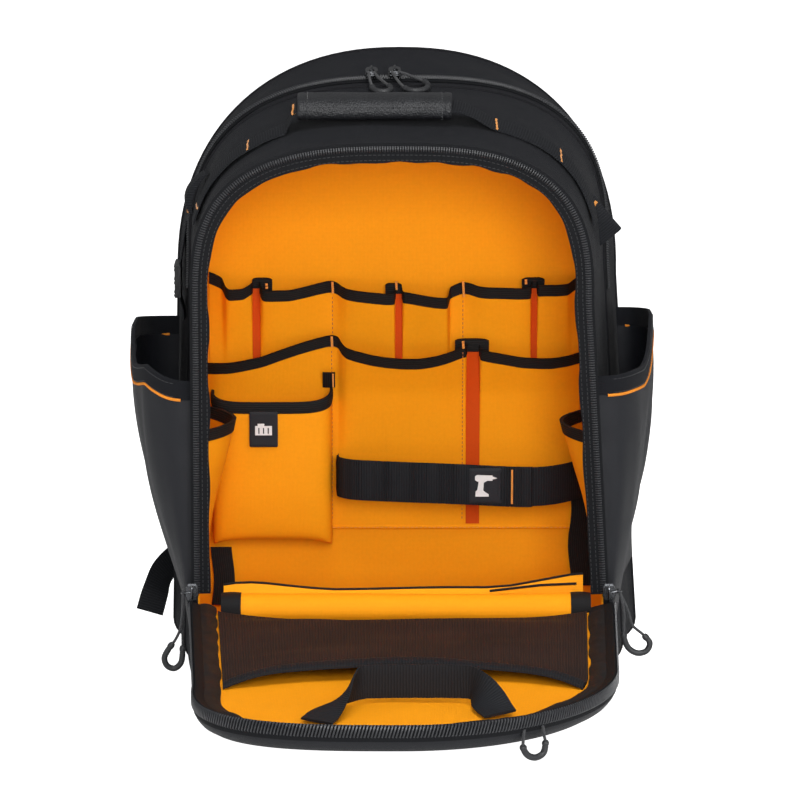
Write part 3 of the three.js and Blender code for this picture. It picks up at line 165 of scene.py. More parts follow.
@functools.lru_cache(maxsize=None)
def bag_arch_at(y):
    depth = (y - FRONT) / DEPTH
    near, far = (OUTLINES[0], OUTLINES[1]) if depth <= OUTLINES[1]["depth"] else (OUTLINES[1], OUTLINES[2])
    share = min(max((depth - near["depth"]) / (far["depth"] - near["depth"]), 0), 1)
    arches = [
        join_halves(*[
            arch_half(o["base"][side] * HALF_WIDTH, o["shoulder"][side] * HALF_WIDTH, o["rise"] * HEIGHT,
                      o["top"] * HEIGHT, o["crown"][side], BASE_CORNER)
            for side in (0, 1)
        ])
        for o in (near, far)
    ]
    return mix(arches[0], arches[1], share)


def bag_arch(y):
    """Outline of the bag at a depth, from the left foot over the crown to the right foot."""
    return bag_arch_at(round(float(y), 3))


def bag_loop(y):
    """Closed outline of the bag at a depth, with the round corners and the flat of the base."""
    arch = bag_arch(y)
    turn = np.linspace(0, math.pi / 2, 7)[1:]
    corner = np.column_stack([np.cos(turn), 1 - np.sin(turn)]) * BASE_CORNER
    right = corner + (arch[-1, 0] - BASE_CORNER, 0)
    left = (corner * (-1, 1) + (arch[0, 0] + BASE_CORNER, 0))[::-1]
    flat = np.linspace(right[-1], left[0], 24)[1:-1]
    return np.vstack([arch, right, flat, left])


def moved_in(path, distance, closed=False):
    """A path moved inwards, square to its own direction."""
    before, after = np.roll(path, 1, axis=0), np.roll(path, -1, axis=0)
    if not closed:
        before[0] = 2 * path[0] - path[1]
        after[-1] = 2 * path[-1] - path[-2]
    normals = []
    for way in (path - before, after - path):
        way = way / np.linalg.norm(way, axis=1, keepdims=True)
        normals.append(np.column_stack([way[:, 1], -way[:, 0]]))
    spread = 1 + (normals[0] * normals[1]).sum(axis=1, keepdims=True)
    return path + distance * (normals[0] + normals[1]) / spread


def at_depth(path, y):
    return np.column_stack([path[:, 0], np.full(len(path), float(y)), path[:, 1]])


def side_at(y, z, hand):
    arch = bag_arch(y)
    half = arch[:SIDE_STEPS + CROWN_STEPS + 1] if hand < 0 else arch[::-1][:SIDE_STEPS + CROWN_STEPS + 1]
    return hand * np.interp(z, half[:, 1], half[:, 0])


def crown_at(y, x):
    crown = bag_arch(y)[SIDE_STEPS:len(bag_arch(y)) - SIDE_STEPS]
    return np.interp(x, crown[:, 0], crown[:, 1])


def ripple(points, length, seed, waves=8, stretch=(1, 1, 1)):
    """Smooth seeded swells of about a length, from -1 to 1, for the slack of cloth."""
    draw = np.random.default_rng(seed)
    ways = draw.normal(size=(waves, 3)) / np.array(stretch)
    ways /= np.linalg.norm(ways * stretch, axis=1, keepdims=True)
    ways *= 2 * math.pi / (length * draw.uniform(0.6, 1.6, (waves, 1)))
    swells = np.sin(np.asarray(points) @ ways.T + draw.uniform(0, 2 * math.pi, waves))
    return np.tanh(swells.sum(axis=-1) / math.sqrt(waves))


def run_along(grid, axis):
    steps = np.linalg.norm(np.diff(grid, axis=axis), axis=2).mean(axis=1 - axis)
    return np.concatenate([[0], np.cumsum(steps)])


def settle(mesh, name, smooth_angle=40):
    """Turns a mesh in millimetres into an object in metres, faces out and smooth."""
    work = bmesh.new()
    work.from_mesh(mesh)
    bmesh.ops.remove_doubles(work, verts=work.verts, dist=1e-4)
    bmesh.ops.dissolve_degenerate(work, edges=work.edges, dist=1e-5)
    bmesh.ops.scale(work, vec=(0.001, 0.001, 0.001), verts=work.verts)
    bmesh.ops.recalc_face_normals(work, faces=work.faces)
    work.to_mesh(mesh)
    work.free()
    mesh.shade_smooth()
    mesh.set_sharp_from_angle(angle=math.radians(smooth_angle))
    piece = bpy.data.objects.new(name, mesh)
    scene.collection.objects.link(piece)
    return piece


def cloth_walls(name, outer, inner, closed=False, lay=None, smooth_angle=40):
    """Cloth between an outer and an inner grid of points, its weave laid out in metres."""
    outer, inner = np.asarray(outer, float), np.asarray(inner, float)
    rows, columns = outer.shape[:2]
    spans = columns if closed else columns - 1
    row, column = [part.ravel() for part in np.meshgrid(np.arange(rows - 1), np.arange(spans), indexing="ij")]
    corners = [(row, column), (row, column + 1), (row + 1, column + 1), (row + 1, column)]
    quads, places = [], []

    def add(sides, spots):
        quads.append(np.stack([
            (side * rows + spot_row) * columns + spot_column % columns
            for side, (spot_row, spot_column) in zip(sides, spots)
        ], axis=1))
        places.append(np.stack([np.stack(np.broadcast_arrays(*spot), axis=1) for spot in spots], axis=1))

    add((0, 0, 0, 0), corners)
    add((1, 1, 1, 1), corners[::-1])
    span = np.arange(spans)
    for end in (0, rows - 1):
        low, high = (np.full(spans, end), span), (np.full(spans, end), span + 1)
        add((0, 0, 1, 1), (low, high, high, low))
    if not closed:
        rise = np.arange(rows - 1)
        for end in (0, columns - 1):
            low, high = (rise, np.full(rows - 1, end)), (rise + 1, np.full(rows - 1, end))
            add((0, 0, 1, 1), (low, high, high, low))
    mesh = bpy.data.meshes.new(name)
    points = np.concatenate([outer.reshape(-1, 3), inner.reshape(-1, 3)])
    mesh.from_pydata(points.tolist(), [], np.concatenate(quads).tolist())
    spots = np.concatenate(places).reshape(-1, 2)
    if lay is None:
        across = run_along(np.concatenate([outer, outer[:, :1]], axis=1) if closed else outer, 1)
        weave = np.column_stack([across[spots[:, 1]], run_along(outer, 0)[spots[:, 0]]])
    else:
        weave = points[np.concatenate(quads).ravel()][:, list(lay)]
    mesh.uv_layers.new(name="weave").data.foreach_set("uv", (weave * 0.001).astype(np.float32).ravel())
    return settle(mesh, name, smooth_angle)


def fit(piece, finish, slot, *nodes):
    """Gives a piece its material and its place on the bag, and hides the solids that it stands for."""
    piece.data.materials.clear()
    piece.data.materials.append(finish)
    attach(piece, "root")
    if nodes:
        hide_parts(*nodes)
    return piece


def calc(tree, operation, *values):
    sum_node = tree.nodes.new("ShaderNodeMath")
    sum_node.operation = operation
    for socket, value in zip(sum_node.inputs, values):
        if isinstance(value, (int, float)):
            socket.default_value = value
        else:
            tree.links.new(value, socket)
    return sum_node.outputs[0]


def tint(tree, share, one, two, way="MIX"):
    blend = tree.nodes.new("ShaderNodeMix")
    blend.data_type = "RGBA"
    blend.blend_type = way
    for socket, value in ((blend.inputs[0], share), (blend.inputs[6], one), (blend.inputs[7], two)):
        if isinstance(value, (int, float, tuple)):
            socket.default_value = value
        else:
            tree.links.new(value, socket)
    return blend.outputs[2]


def grain(tree, place, scale, detail=3.0, roughness=0.55):
    speckle = tree.nodes.new("ShaderNodeTexNoise")
    speckle.inputs["Scale"].default_value = scale
    speckle.inputs["Detail"].default_value = detail
    speckle.inputs["Roughness"].default_value = roughness
    tree.links.new(place, speckle.inputs["Vector"])
    return speckle.outputs[0]


def new_group(name, inputs, outputs):
    group = bpy.data.node_groups.new(name, "ShaderNodeTree")
    for label, kind, value in inputs:
        socket = group.interface.new_socket(name=label, in_out="INPUT", socket_type=kind)
        if value is not None:
            socket.default_value = value
    for label, kind in outputs:
        group.interface.new_socket(name=label, in_out="OUTPUT", socket_type=kind)
    return group, group.nodes.new("NodeGroupInput").outputs, group.nodes.new("NodeGroupOutput").inputs


def threads_of(tree, place, per_metre):
    """Place counted in threads, as two numbers along the warp and the weft."""
    scaled = tree.nodes.new("ShaderNodeVectorMath")
    scaled.operation = "SCALE"
    tree.links.new(place, scaled.inputs[0])
    tree.links.new(per_metre, scaled.inputs["Scale"])
    split = tree.nodes.new("ShaderNodeSeparateXYZ")
    tree.links.new(scaled.outputs[0], split.inputs[0])
    return split.outputs[0], split.outputs[1], scaled.outputs[0]


# Plain weave: each thread passes over and under its neighbours, and varies along its length.
plain_weave, given, gives = new_group("plain_weave", [
    ("Place", "NodeSocketVector", None), ("Threads", "NodeSocketFloat", 1000.0),
    ("Colour", "NodeSocketColor", (0.5, 0.5, 0.5, 1)), ("Contrast", "NodeSocketFloat", 0.3),
    ("Patches", "NodeSocketFloat", 0.15),
], [("Colour", "NodeSocketColor"), ("Height", "NodeSocketFloat")])
warp, weft, counted = threads_of(plain_weave, given["Place"], given["Threads"])
bows = [calc(plain_weave, "ABSOLUTE", calc(plain_weave, "SINE", calc(plain_weave, "MULTIPLY", part, math.pi)))
        for part in (warp, weft)]
cells = calc(plain_weave, "ADD", calc(plain_weave, "FLOOR", warp), calc(plain_weave, "FLOOR", weft))
over = calc(plain_weave, "FLOORED_MODULO", cells, 2.0)
thread_height = calc(plain_weave, "ADD", calc(plain_weave, "MULTIPLY", bows[0], over),
                     calc(plain_weave, "MULTIPLY", bows[1], calc(plain_weave, "SUBTRACT", 1.0, over)))
slub = grain(plain_weave, counted, 0.35, 2.0)
height = calc(plain_weave, "ADD", calc(plain_weave, "MULTIPLY", thread_height, 0.7),
              calc(plain_weave, "MULTIPLY", slub, 0.6))
patch = grain(plain_weave, given["Place"], 16.0, 3.0)
shade = calc(plain_weave, "MULTIPLY_ADD", calc(plain_weave, "SUBTRACT", height, 0.75), given["Contrast"], 1.0)
shade = calc(plain_weave, "ADD", shade, calc(plain_weave, "MULTIPLY",
                                             calc(plain_weave, "SUBTRACT", patch, 0.5), given["Patches"]))
shade_colour = plain_weave.nodes.new("ShaderNodeCombineColor")
for socket in shade_colour.inputs[:3]:
    plain_weave.links.new(shade, socket)
plain_weave.links.new(tint(plain_weave, 1.0, given["Colour"], shade_colour.outputs[0], "MULTIPLY"),
                      gives["Colour"])
plain_weave.links.new(height, gives["Height"])


def start_finish(name, roughness, **fixed):
    material = bpy.data.materials.new(name)
    material.use_nodes = True
    skin = material.node_tree.nodes["Principled BSDF"]
    skin.inputs["Roughness"].default_value = roughness
    for label, value in fixed.items():
        skin.inputs[label.replace("_", " ")].default_value = value
    return material, material.node_tree, skin


def laid_on(tree, place):
    """Where the cloth's pattern lies: on its own weave, or on the piece's own axes."""
    source = tree.nodes.new("ShaderNodeTexCoord")
    if place == "weave":
        return source.outputs["UV"]
    turn = tree.nodes.new("ShaderNodeMapping")
    turn.inputs["Rotation"].default_value = {"upright": (math.pi / 2, 0, 0), "flat": (0, 0, 0)}[place]
    tree.links.new(source.outputs["Object"], turn.inputs["Vector"])
    return turn.outputs[0]


def raise_by(tree, skin, height, distance, strength=1.0, under=None):
    bump = tree.nodes.new("ShaderNodeBump")
    bump.inputs["Strength"].default_value = strength
    bump.inputs["Distance"].default_value = distance
    tree.links.new(height, bump.inputs["Height"])
    if under is not None:
        tree.links.new(under, bump.inputs["Normal"])
    tree.links.new(bump.outputs[0], skin.inputs["Normal"])
    return bump.outputs[0]


def woven_finish(name, colour, threads, contrast, roughness, place="weave", relief=0.00025,
                 creases=0.0, crease_scale=28.0, patches=0.15, shine=0.12, **fixed):
    material, tree, skin = start_finish(name, roughness, Specular_IOR_Level=shine, **fixed)
    where = laid_on(tree, place)
    cloth = tree.nodes.new("ShaderNodeGroup")
    cloth.node_tree = plain_weave
    cloth.inputs["Threads"].default_value = threads
    cloth.inputs["Colour"].default_value = (*colour, 1)
    cloth.inputs["Contrast"].default_value = contrast
    cloth.inputs["Patches"].default_value = patches
    tree.links.new(where, cloth.inputs["Place"])
    tree.links.new(cloth.outputs["Colour"], skin.inputs["Base Color"])
    under = None
    if creases:
        under = raise_by(tree, skin, grain(tree, where, crease_scale, 2.0, 0.5), creases)
    raise_by(tree, skin, cloth.outputs["Height"], relief, under=under)
    return material


BLACK = (0.0092, 0.0098, 0.0125)
black_cloth = woven_finish("black_polyester", BLACK, 1100.0, 0.5, 0.74, creases=0.0035, crease_scale=18.0,
                           Sheen_Weight=0.03, Sheen_Roughness=0.4)
black_pad_cloth = woven_finish("black_padded_cloth", BLACK, 1100.0, 0.5, 0.76, place="upright",
                               Sheen_Weight=0.03, Sheen_Roughness=0.4)


def speckled_finish(name, roughness, dark, light, speckle, relief_scale, relief, detail=3.0, fine=2.0,
                    **fixed):
    """A smooth finish whose colour and surface vary a little, for plastic, metal, rubber and ink."""
    material, tree, skin = start_finish(name, roughness, **fixed)
    where = laid_on(tree, "flat")
    mottle = grain(tree, where, speckle, detail)
    tree.links.new(tint(tree, mottle, (*dark, 1), (*light, 1)), skin.inputs["Base Color"])
    if relief:
        raise_by(tree, skin, grain(tree, where, relief_scale, fine), relief)
    return material


def gusset(depths, seams, thickness, distance, slack, seed):
    """Skins of a gusset strip: the cloth sinks by its slack between the seams' depths."""
    skins = []
    for extra in (0, thickness):
        rows = []
        for y in depths:
            loop = bag_loop(y)
            near = min(abs(y - seam) for seam in seams)
            hold = min(near / 14.0, 1.0) ** 0.7
            sink = slack * hold * (0.5 + 0.5 * ripple(at_depth(loop, y), 90, seed, stretch=(1, 0.6, 1)))
            path = moved_in(loop, distance + extra, closed=True)
            inward = moved_in(loop, distance + extra + 1.0, closed=True) - path
            rows.append(at_depth(path + inward * sink[:, None], y))
        skins.append(np.array(rows))
    return skins


ZIP_SEAT = FRONT + OUTLINES[1]["depth"] * DEPTH
main_depths = np.linspace(FRONT, MAIN_END, 15)
main_outer, main_inner = gusset(main_depths, (FRONT, MAIN_END), SHELL_WALL, 0, 2.2, 11)
fit(cloth_walls("main_gusset", main_outer, main_inner, closed=True), black_cloth, "black_cloth", "main_shell")
rear_depths = np.concatenate([np.linspace(REAR_START, ZIP_SEAT, 4), np.linspace(ZIP_SEAT, REAR_END, 8)[1:]])
rear_outer, rear_inner = gusset(rear_depths, (REAR_START, ZIP_SEAT, REAR_END), SHELL_WALL, 0, 1.4, 12)
fit(cloth_walls("rear_gusset", rear_outer, rear_inner, closed=True), black_cloth, "black_cloth", "rear_shell")

# Piping and seams of the body
# A thin black cord in a cloth fold is sewn into the seams where the shells meet, where the
# rear shell meets the back panel and round the foot of the bag.


def tangents(path):
    way = np.gradient(np.asarray(path, float), axis=0)
    return way / np.linalg.norm(way, axis=1, keepdims=True)


def round_cord(name, path, radius, sides=8, closed=False):
    """A round cord along a path, its section carried along without a twist."""
    path = np.asarray(path, float)
    way = tangents(np.vstack([path[-2:], path, path[:2]]))[2:-2] if closed else tangents(path)
    across = np.cross(way[0], (0.12, 1.0, 0.3))
    rings = []
    for point, along in zip(path, way):
        across = across - along * (across @ along)
        across = across / np.linalg.norm(across)
        up = np.cross(along, across)
        turn = (np.arange(sides) + 0.5) / sides * 2 * math.pi
        rings.append(point + radius * (np.cos(turn)[:, None] * across + np.sin(turn)[:, None] * up))
    return rings_solid(name, rings, joined=closed)


def rings_solid(name, rings, joined=False, lay=None, smooth_angle=40):
    """A closed solid through rings of points, capped at each end unless it joins up."""
    rings = np.asarray(rings, float)
    count, sides = rings.shape[:2]
    spans = count if joined else count - 1
    row, column = [part.ravel() for part in np.meshgrid(np.arange(spans), np.arange(sides), indexing="ij")]
    spots = [(row, column), (row, column + 1), (row + 1, column + 1), (row + 1, column)]
    quads = np.stack([(r % count) * sides + c % sides for r, c in spots], axis=1)
    faces = quads.tolist()
    if not joined:
        faces += [list(range(sides))[::-1], list(range((count - 1) * sides, count * sides))]
    mesh = bpy.data.meshes.new(name)
    points = rings.reshape(-1, 3)
    mesh.from_pydata(points.tolist(), [], faces)
    long = run_along(np.concatenate([rings, rings[:1]]) if joined else rings, 0)
    around = run_along(np.concatenate([rings, rings[:, :1]], axis=1), 1)
    weave = np.stack([np.stack([long[r], around[c]], axis=1) for r, c in spots], axis=1).reshape(-1, 2)
    if not joined:
        caps = np.concatenate([np.arange(sides)[::-1], np.arange((count - 1) * sides, count * sides)])
        weave = np.concatenate([weave, points[caps][:, :2]])
    if lay is not None:
        order = np.concatenate([np.asarray(face) for face in faces])
        weave = points[order][:, list(lay)]
    mesh.uv_layers.new(name="weave").data.foreach_set("uv", (weave * 0.001).astype(np.float32).ravel())
    return settle(mesh, name, smooth_angle)


piping_cloth = woven_finish("black_piping", (0.010, 0.010, 0.012), 1400.0, 0.4, 0.6)
for piping_name, piping_y in (("gusset_piping", MAIN_END + 0.15), ("back_piping", REAR_END + 0.2)):
    seam_path = at_depth(moved_in(bag_loop(piping_y), 0.6, closed=True), piping_y)
    seam_path[:, 2] = np.maximum(seam_path[:, 2], 1.95)
    fit(round_cord(piping_name, seam_path, 1.9, closed=True), piping_cloth, "black_cloth")

# Orange lining
# The tool compartment is lined with bright orange polyester: a strip round the gusset and a
# divider behind the pockets. It is cut full, so it lies in soft shallow folds.
LINING_OUTER = SHELL_WALL + GAP
LINING_INNER = LINING_OUTER + 1.2
ORANGE = (0.96, 0.345, 0.006)
orange_cloth = woven_finish("orange_polyester", ORANGE, 950.0, 0.16, 0.7, relief=0.00012,
                            creases=0.0012, crease_scale=26.0, patches=0.06)
lining_depths = np.linspace(FRONT, WALL_FACE - GAP, 12)
lining_outer, lining_inner = gusset(lining_depths, (FRONT, WALL_FACE), 1.2, LINING_OUTER, 1.6, 21)
fit(cloth_walls("gusset_lining_cloth", lining_outer, lining_inner, closed=True), orange_cloth,
    "orange_lining", "gusset_lining")


def filled_panel(name, outline, front, thickness, relief, rings=30, lay=(0, 2)):
    """A panel across the bag inside an outline, its front face shaped by relief(x, z)."""
    outline = np.asarray(outline, float)
    centre = (outline.min(axis=0) + outline.max(axis=0)) / 2
    skins = []
    for y in (front, front + thickness):
        rows = []
        for share in np.linspace(1, 0, rings):
            ring = centre + (outline - centre) * share
            hold = min((1 - share) * 8, 1)
            rows.append(np.column_stack([ring[:, 0], y + hold * relief(ring[:, 0], ring[:, 1]), ring[:, 1]]))
        skins.append(np.array(rows))
    return cloth_walls(name, skins[0], skins[1], closed=True, lay=lay)


def divider_relief(x, z):
    """The divider is pinned by the pockets' seams and loose above and below them."""
    loose = np.clip((z - 300) / 60, 0, 1) + np.clip((125 - z) / 40, 0, 1)
    points = np.column_stack([x, np.zeros_like(x), z])
    return 1.3 + loose * (1.3 * ripple(points, 120, 31, stretch=(1, 1, 0.7)) - 0.7)


divider = moved_in(bag_loop(WALL_FACE), LINING_OUTER, closed=True)
fit(filled_panel("divider_lining", divider, WALL_FACE, 1.4, divider_relief), orange_cloth, "orange_lining",
    "back_wall")


def bars(name, centres, along, across, out, size, top=0.6):
    """Many small raised bars in one piece, such as the teeth of a zip or stitches."""
    long, wide, tall = size
    corners = [(-1, -1, 0), (1, -1, 0), (1, 1, 0), (-1, 1, 0), (-top, -top, 1), (top, -top, 1), (top, top, 1),
               (-top, top, 1)]
    points = np.stack([
        centres + along * (u * long / 2) + across * (v * wide / 2) + out * (w * tall) for u, v, w in corners
    ], axis=1).reshape(-1, 3)
    faces = np.array([(3, 2, 1, 0), (4, 5, 6, 7), (0, 1, 5, 4), (1, 2, 6, 5), (2, 3, 7, 6), (3, 0, 4, 7)])
    faces = (faces[None] + 8 * np.arange(len(centres))[:, None, None]).reshape(-1, 4)
    mesh = bpy.data.meshes.new(name)
    mesh.from_pydata(points.tolist(), [], faces.tolist())
    return settle(mesh, name, 75)


def walk(path, pitch, margin=0.0):
    """Places at an even pitch along a path, with its direction at each."""
    path = np.asarray(path, float)
    run = np.concatenate([[0], np.cumsum(np.linalg.norm(np.diff(path, axis=0), axis=1))])
    room_left = run[-1] - 2 * margin
    count = max(int(room_left // pitch), 1)
    at = margin + (np.arange(count) + 0.5) * room_left / count
    spot = lambda where: np.stack([np.interp(where, run, path[:, axis]) for axis in range(3)], axis=1)
    way = spot(np.minimum(at + 0.4, run[-1])) - spot(np.maximum(at - 0.4, 0))
    return spot(at), way / np.linalg.norm(way, axis=1, keepdims=True)


def thread_finish(name, colour, roughness=0.55):
    material, tree, skin = start_finish(name, roughness, Sheen_Weight=0.2)
    where = laid_on(tree, "flat")
    skin.inputs["Base Color"].default_value = (*colour, 1)
    tree.links.new(tint(tree, grain(tree, where, 900.0), (*[c * 0.75 for c in colour], 1), (*colour, 1)),
                   skin.inputs["Base Color"])
    raise_by(tree, skin, grain(tree, where, 2200.0, 1.0), 0.00015)
    return material


orange_thread = thread_finish("orange_thread", (0.95, 0.36, 0.05))
deep_thread = thread_finish("deep_orange_thread", (0.55, 0.13, 0.01))
black_thread = thread_finish("black_thread", (0.02, 0.021, 0.024), 0.5)


def stitches(name, path, out, finish, slot, pitch=3.2, length=2.3, thickness=0.5, lift=0.0):
    """A row of stitches along a path, on the side of the cloth that out points to."""
    spots, along = walk(path, pitch, 1.0)
    out = np.broadcast_to(np.asarray(out, float), along.shape)
    out = out - along * (out * along).sum(axis=1, keepdims=True)
    out = out / np.linalg.norm(out, axis=1, keepdims=True)
    across = np.cross(along, out)
    return fit(bars(name, spots + out * lift, along, across, out, (length, thickness, thickness * 0.7)),
               finish, slot)

# Front sill
# A low wall of the same black cloth closes the front under the tool lip, sewn into the gusset.
SILL_HEIGHT = 72.0
sill_loop = moved_in(bag_loop(FRONT), LINING_INNER + GAP, closed=True)
sill_edges = [
    (hand * (float(side_at(FRONT, SILL_HEIGHT, hand)) - LINING_INNER - GAP), SILL_HEIGHT) for hand in (-1, 1)
]
low_points = sill_loop[sill_loop[:, 1] < SILL_HEIGHT]
split = int(np.argmax(low_points[:, 0]))
sill_top = np.linspace(sill_edges[0], sill_edges[1], 20)
sill_outline = np.vstack([sill_top, low_points[split:], low_points[:split]])


def sill_relief(x, z):
    return 0.5 + 0.4 * ripple(np.column_stack([x, np.zeros_like(x), z]), 90, 33)


fit(filled_panel("sill_cloth", sill_outline, FRONT, 3.2, sill_relief, rings=10), black_cloth, "black_cloth",
    "front_sill")

# Front zip
# The opened half of a coil zip is sewn along the front edge of the gusset. Its tape lies on
# the rim, with the coil near its outer edge and a slightly wavy free edge inside.
ZIP_FOOT = 95.0
COIL_PITCH = 1.9


def above(path, foot):
    """The stretch of an arch over a height, cut exactly at that height on both sides."""
    keep = np.flatnonzero(path[:, 1] >= foot)
    first, last = keep[0], keep[-1]
    ends = []
    for inner, outer in ((first, max(first - 1, 0)), (last, min(last + 1, len(path) - 1))):
        rise = path[inner, 1] - path[outer, 1]
        share = (foot - path[outer, 1]) / rise if rise else 0
        ends.append(mix(path[outer], path[inner], share))
    return np.vstack([ends[0], path[first:last + 1], ends[1]])


def even(path, count):
    """The same path with evenly spaced points."""
    path = np.asarray(path, float)
    run = np.concatenate([[0], np.cumsum(np.linalg.norm(np.diff(path, axis=0), axis=1))])
    at = np.linspace(0, run[-1], count)
    return np.column_stack([np.interp(at, run, path[:, axis]) for axis in range(path.shape[1])])


zip_tape = woven_finish("zip_tape", (0.0075, 0.008, 0.0095), 1900.0, 0.5, 0.68, relief=0.0001)
coil_nylon = speckled_finish("coil_nylon", 0.34, (0.010, 0.010, 0.012), (0.045, 0.047, 0.052), 350.0,
                             1400.0, 0.0001, detail=2.0, fine=1.0, IOR=1.5)

zip_edge = even(above(bag_arch(FRONT), ZIP_FOOT), 260)
wave = ripple(at_depth(zip_edge, 0), 34, 41)
tape_rows = []
for distance, lift in ((-1.0, 0.9), (0.4, 1.25), (6.4, 1.25), (9.0, 1.0), (13.2, 0.9)):
    swing = wave * (0.9 if distance > 9 else 0.3 if distance > 6.4 else 0.0)
    row = moved_in(zip_edge, distance) + (moved_in(zip_edge, distance + 1) - moved_in(zip_edge,
        distance)) * swing[:, None]
    tape_rows.append((row, lift + (0.25 * wave if distance > 9 else 0.0)))
tape_front = np.array([
    at_depth(row, 0) - np.outer(np.full(len(row), GAP - FRONT) + rise + 0.6, (0, 1, 0))
    for row, rise in tape_rows
])
tape_back = np.array([at_depth(row, FRONT - GAP) for row, rise in tape_rows])
fit(cloth_walls("front_zip_tape", tape_front, tape_back), zip_tape, "webbing", "front_zip")

coil_line = at_depth(moved_in(zip_edge, 3.2), FRONT - GAP - 1.7)
coil_spots, coil_way = walk(coil_line, COIL_PITCH)
coil_out = np.tile((0.0, -1.0, 0.0), (len(coil_spots), 1))
coil_across = np.cross(coil_way, coil_out)
fit(bars("front_coil", coil_spots, coil_way, coil_across, coil_out, (1.15, 4.6, 1.3), top=0.7), coil_nylon,
    "webbing")
for track_name, track_inset in (("front_zip_stitch_outer", 7.6), ("front_zip_stitch_inner", 11.6)):
    track = at_depth(moved_in(zip_edge, track_inset), FRONT - GAP - 1.75)
    stitches(track_name, track, (0, -1, 0), black_thread, "webbing", pitch=3.4, length=2.2, thickness=0.45)

# Rear zip
# A closed double coil zip runs over the crown of the rear shell on a tape of its own.
REAR_ZIP_FOOT = 300.0
REAR_ZIP_WIDTH = 12.0
rear_tape = [[], []]
for share in np.linspace(-1, 1, 7):
    y = ZIP_SEAT + share * REAR_ZIP_WIDTH / 2
    arch = bag_arch(y)
    for skin, distance in ((0, -GAP - 1.3 + 0.5 * abs(share)), (1, -GAP)):
        rear_tape[skin].append(at_depth(even(above(moved_in(arch, distance), REAR_ZIP_FOOT), 200), y))
fit(cloth_walls("rear_zip_tape", rear_tape[0], rear_tape[1]), zip_tape, "webbing", "rear_zip")
for row_name, row_shift in (("rear_coil_front", -1.5), ("rear_coil_back", 1.5)):
    arch = even(above(moved_in(bag_arch(ZIP_SEAT + row_shift), -GAP - 1.2), REAR_ZIP_FOOT), 320)
    spots, way = walk(at_depth(arch, ZIP_SEAT + row_shift), COIL_PITCH)
    if row_shift > 0:
        spots = spots + way * COIL_PITCH / 2
    across = np.tile((0.0, 1.0, 0.0), (len(spots), 1))
    fit(bars(row_name, spots, way, across, np.cross(way, across), (1.1, 3.2, 1.6), top=0.7), coil_nylon,
        "webbing")

# Side pockets
# Bellows pockets of smooth softshell on both sides, gathered at the seams and pleated below.
# A hem of the bag's cloth holds the mouth and an orange cord is piped under the hem.
SIDE_SWELL = 42.0
SIDE_HEM = 15.0
SIDE_POCKETS = (
    dict(name="left", hand=-1, swell=1.0, seed=51,
         rim=((0, 258), (0.05, 262), (0.12, 266), (0.2, 262), (0.3, 259), (0.44, 266), (0.6, 277),
              (0.75, 277), (0.86, 273), (1, 268))),
    dict(name="right", hand=1, swell=0.8, seed=52,
         rim=((0, 262), (0.1, 262), (0.2, 261), (0.3, 265), (0.45, 276), (0.55, 282), (0.65, 285), (0.8, 281),
              (1, 275))),
)
softshell = woven_finish("black_softshell", (0.0095, 0.0102, 0.0135), 2400.0, 0.25, 0.52, relief=0.00006,
                         creases=0.004, crease_scale=14.0, shine=0.3)


def side_pocket_column(pocket, share, heights, lift, slack):
    y = FRONT + mix(0.03, 0.89, share) * DEPTH
    bottom = mix(0.13, 0.15, share) * HEIGHT
    rim = float(np.interp(share, *np.array(pocket["rim"]).T))
    z = mix(bottom, rim - SIDE_HEM, heights) if slack else mix(rim - SIDE_HEM, rim, heights)
    plan = (1 - abs(2 * share - 1) ** 2.5) ** (1 / 2.5)
    up = np.clip((z - bottom) / (rim - bottom), 0, 1)
    rising = np.sin(np.minimum(up / 0.92, 1) * math.pi / 2) ** 1.2
    points = np.column_stack([np.zeros_like(z), np.full_like(z, y), z])
    folds = ripple(points, 75, pocket["seed"], stretch=(1, 0.45, 1.6)) - 0.4
    sink = slack * folds * plan * np.sin(np.clip(up, 0, 1) * math.pi) ** 0.6
    stand = GAP + pocket["swell"] * SIDE_SWELL * plan * rising + lift + np.where(up > 0, sink, 0)
    return np.column_stack([pocket["hand"] * (side_at(y, z, pocket["hand"]) + np.maximum(stand, GAP + lift)),
                            points[:, 1], z])


side_spans = 0.5 - 0.5 * np.cos(np.linspace(0, math.pi, 49))
for pocket in SIDE_POCKETS:
    def side_grid(heights, lift, slack):
        return np.stack([side_pocket_column(pocket, share, heights, lift, slack) for share in side_spans],
                        axis=1)

    up = np.linspace(0, 1, 40)
    bellows = cloth_walls("side_pocket_" + pocket["name"], side_grid(up, 2.4, 2.2), side_grid(up, 0.0, 2.2))
    fit(bellows, softshell, "softshell", "side_pocket_" + pocket["name"])
    hem_rows = np.linspace(0.0, 1.0, 6)
    hem_swell = np.array([0.0, 0.8, 1.0, 1.0, 0.8, 0.0])[:, None, None]
    hem_outer = side_grid(hem_rows, 2.4, 0)
    hem_outer = hem_outer + hem_swell * (pocket["hand"] * 1.0, 0, 0)
    hem = cloth_walls("side_hem_" + pocket["name"], hem_outer, side_grid(hem_rows, 0.2, 0))
    fit(hem, black_cloth, "black_cloth", "side_pocket_hem_" + pocket["name"])
    for level, label in ((0.14, "low"), (0.82, "high")):
        seam = side_grid(np.array([level]), 3.25, 0)[0][2:-2]
        stitches(f"side_hem_stitch_{pocket['name']}_{label}", seam, (pocket["hand"], 0, 0), black_thread,
                 "black_cloth",
                 pitch=3.6, length=2.6, thickness=0.5)
    piping_line = even(side_grid(np.array([0.0]), 2.7, 0)[0][1:-1], 90)
    piping = round_cord("side_piping_" + pocket["name"], piping_line, 1.15, sides=8)
    fit(piping, woven_finish("orange_piping_" + pocket["name"], (0.93, 0.30, 0.03), 1300.0, 0.3, 0.6),
        "orange_lining")

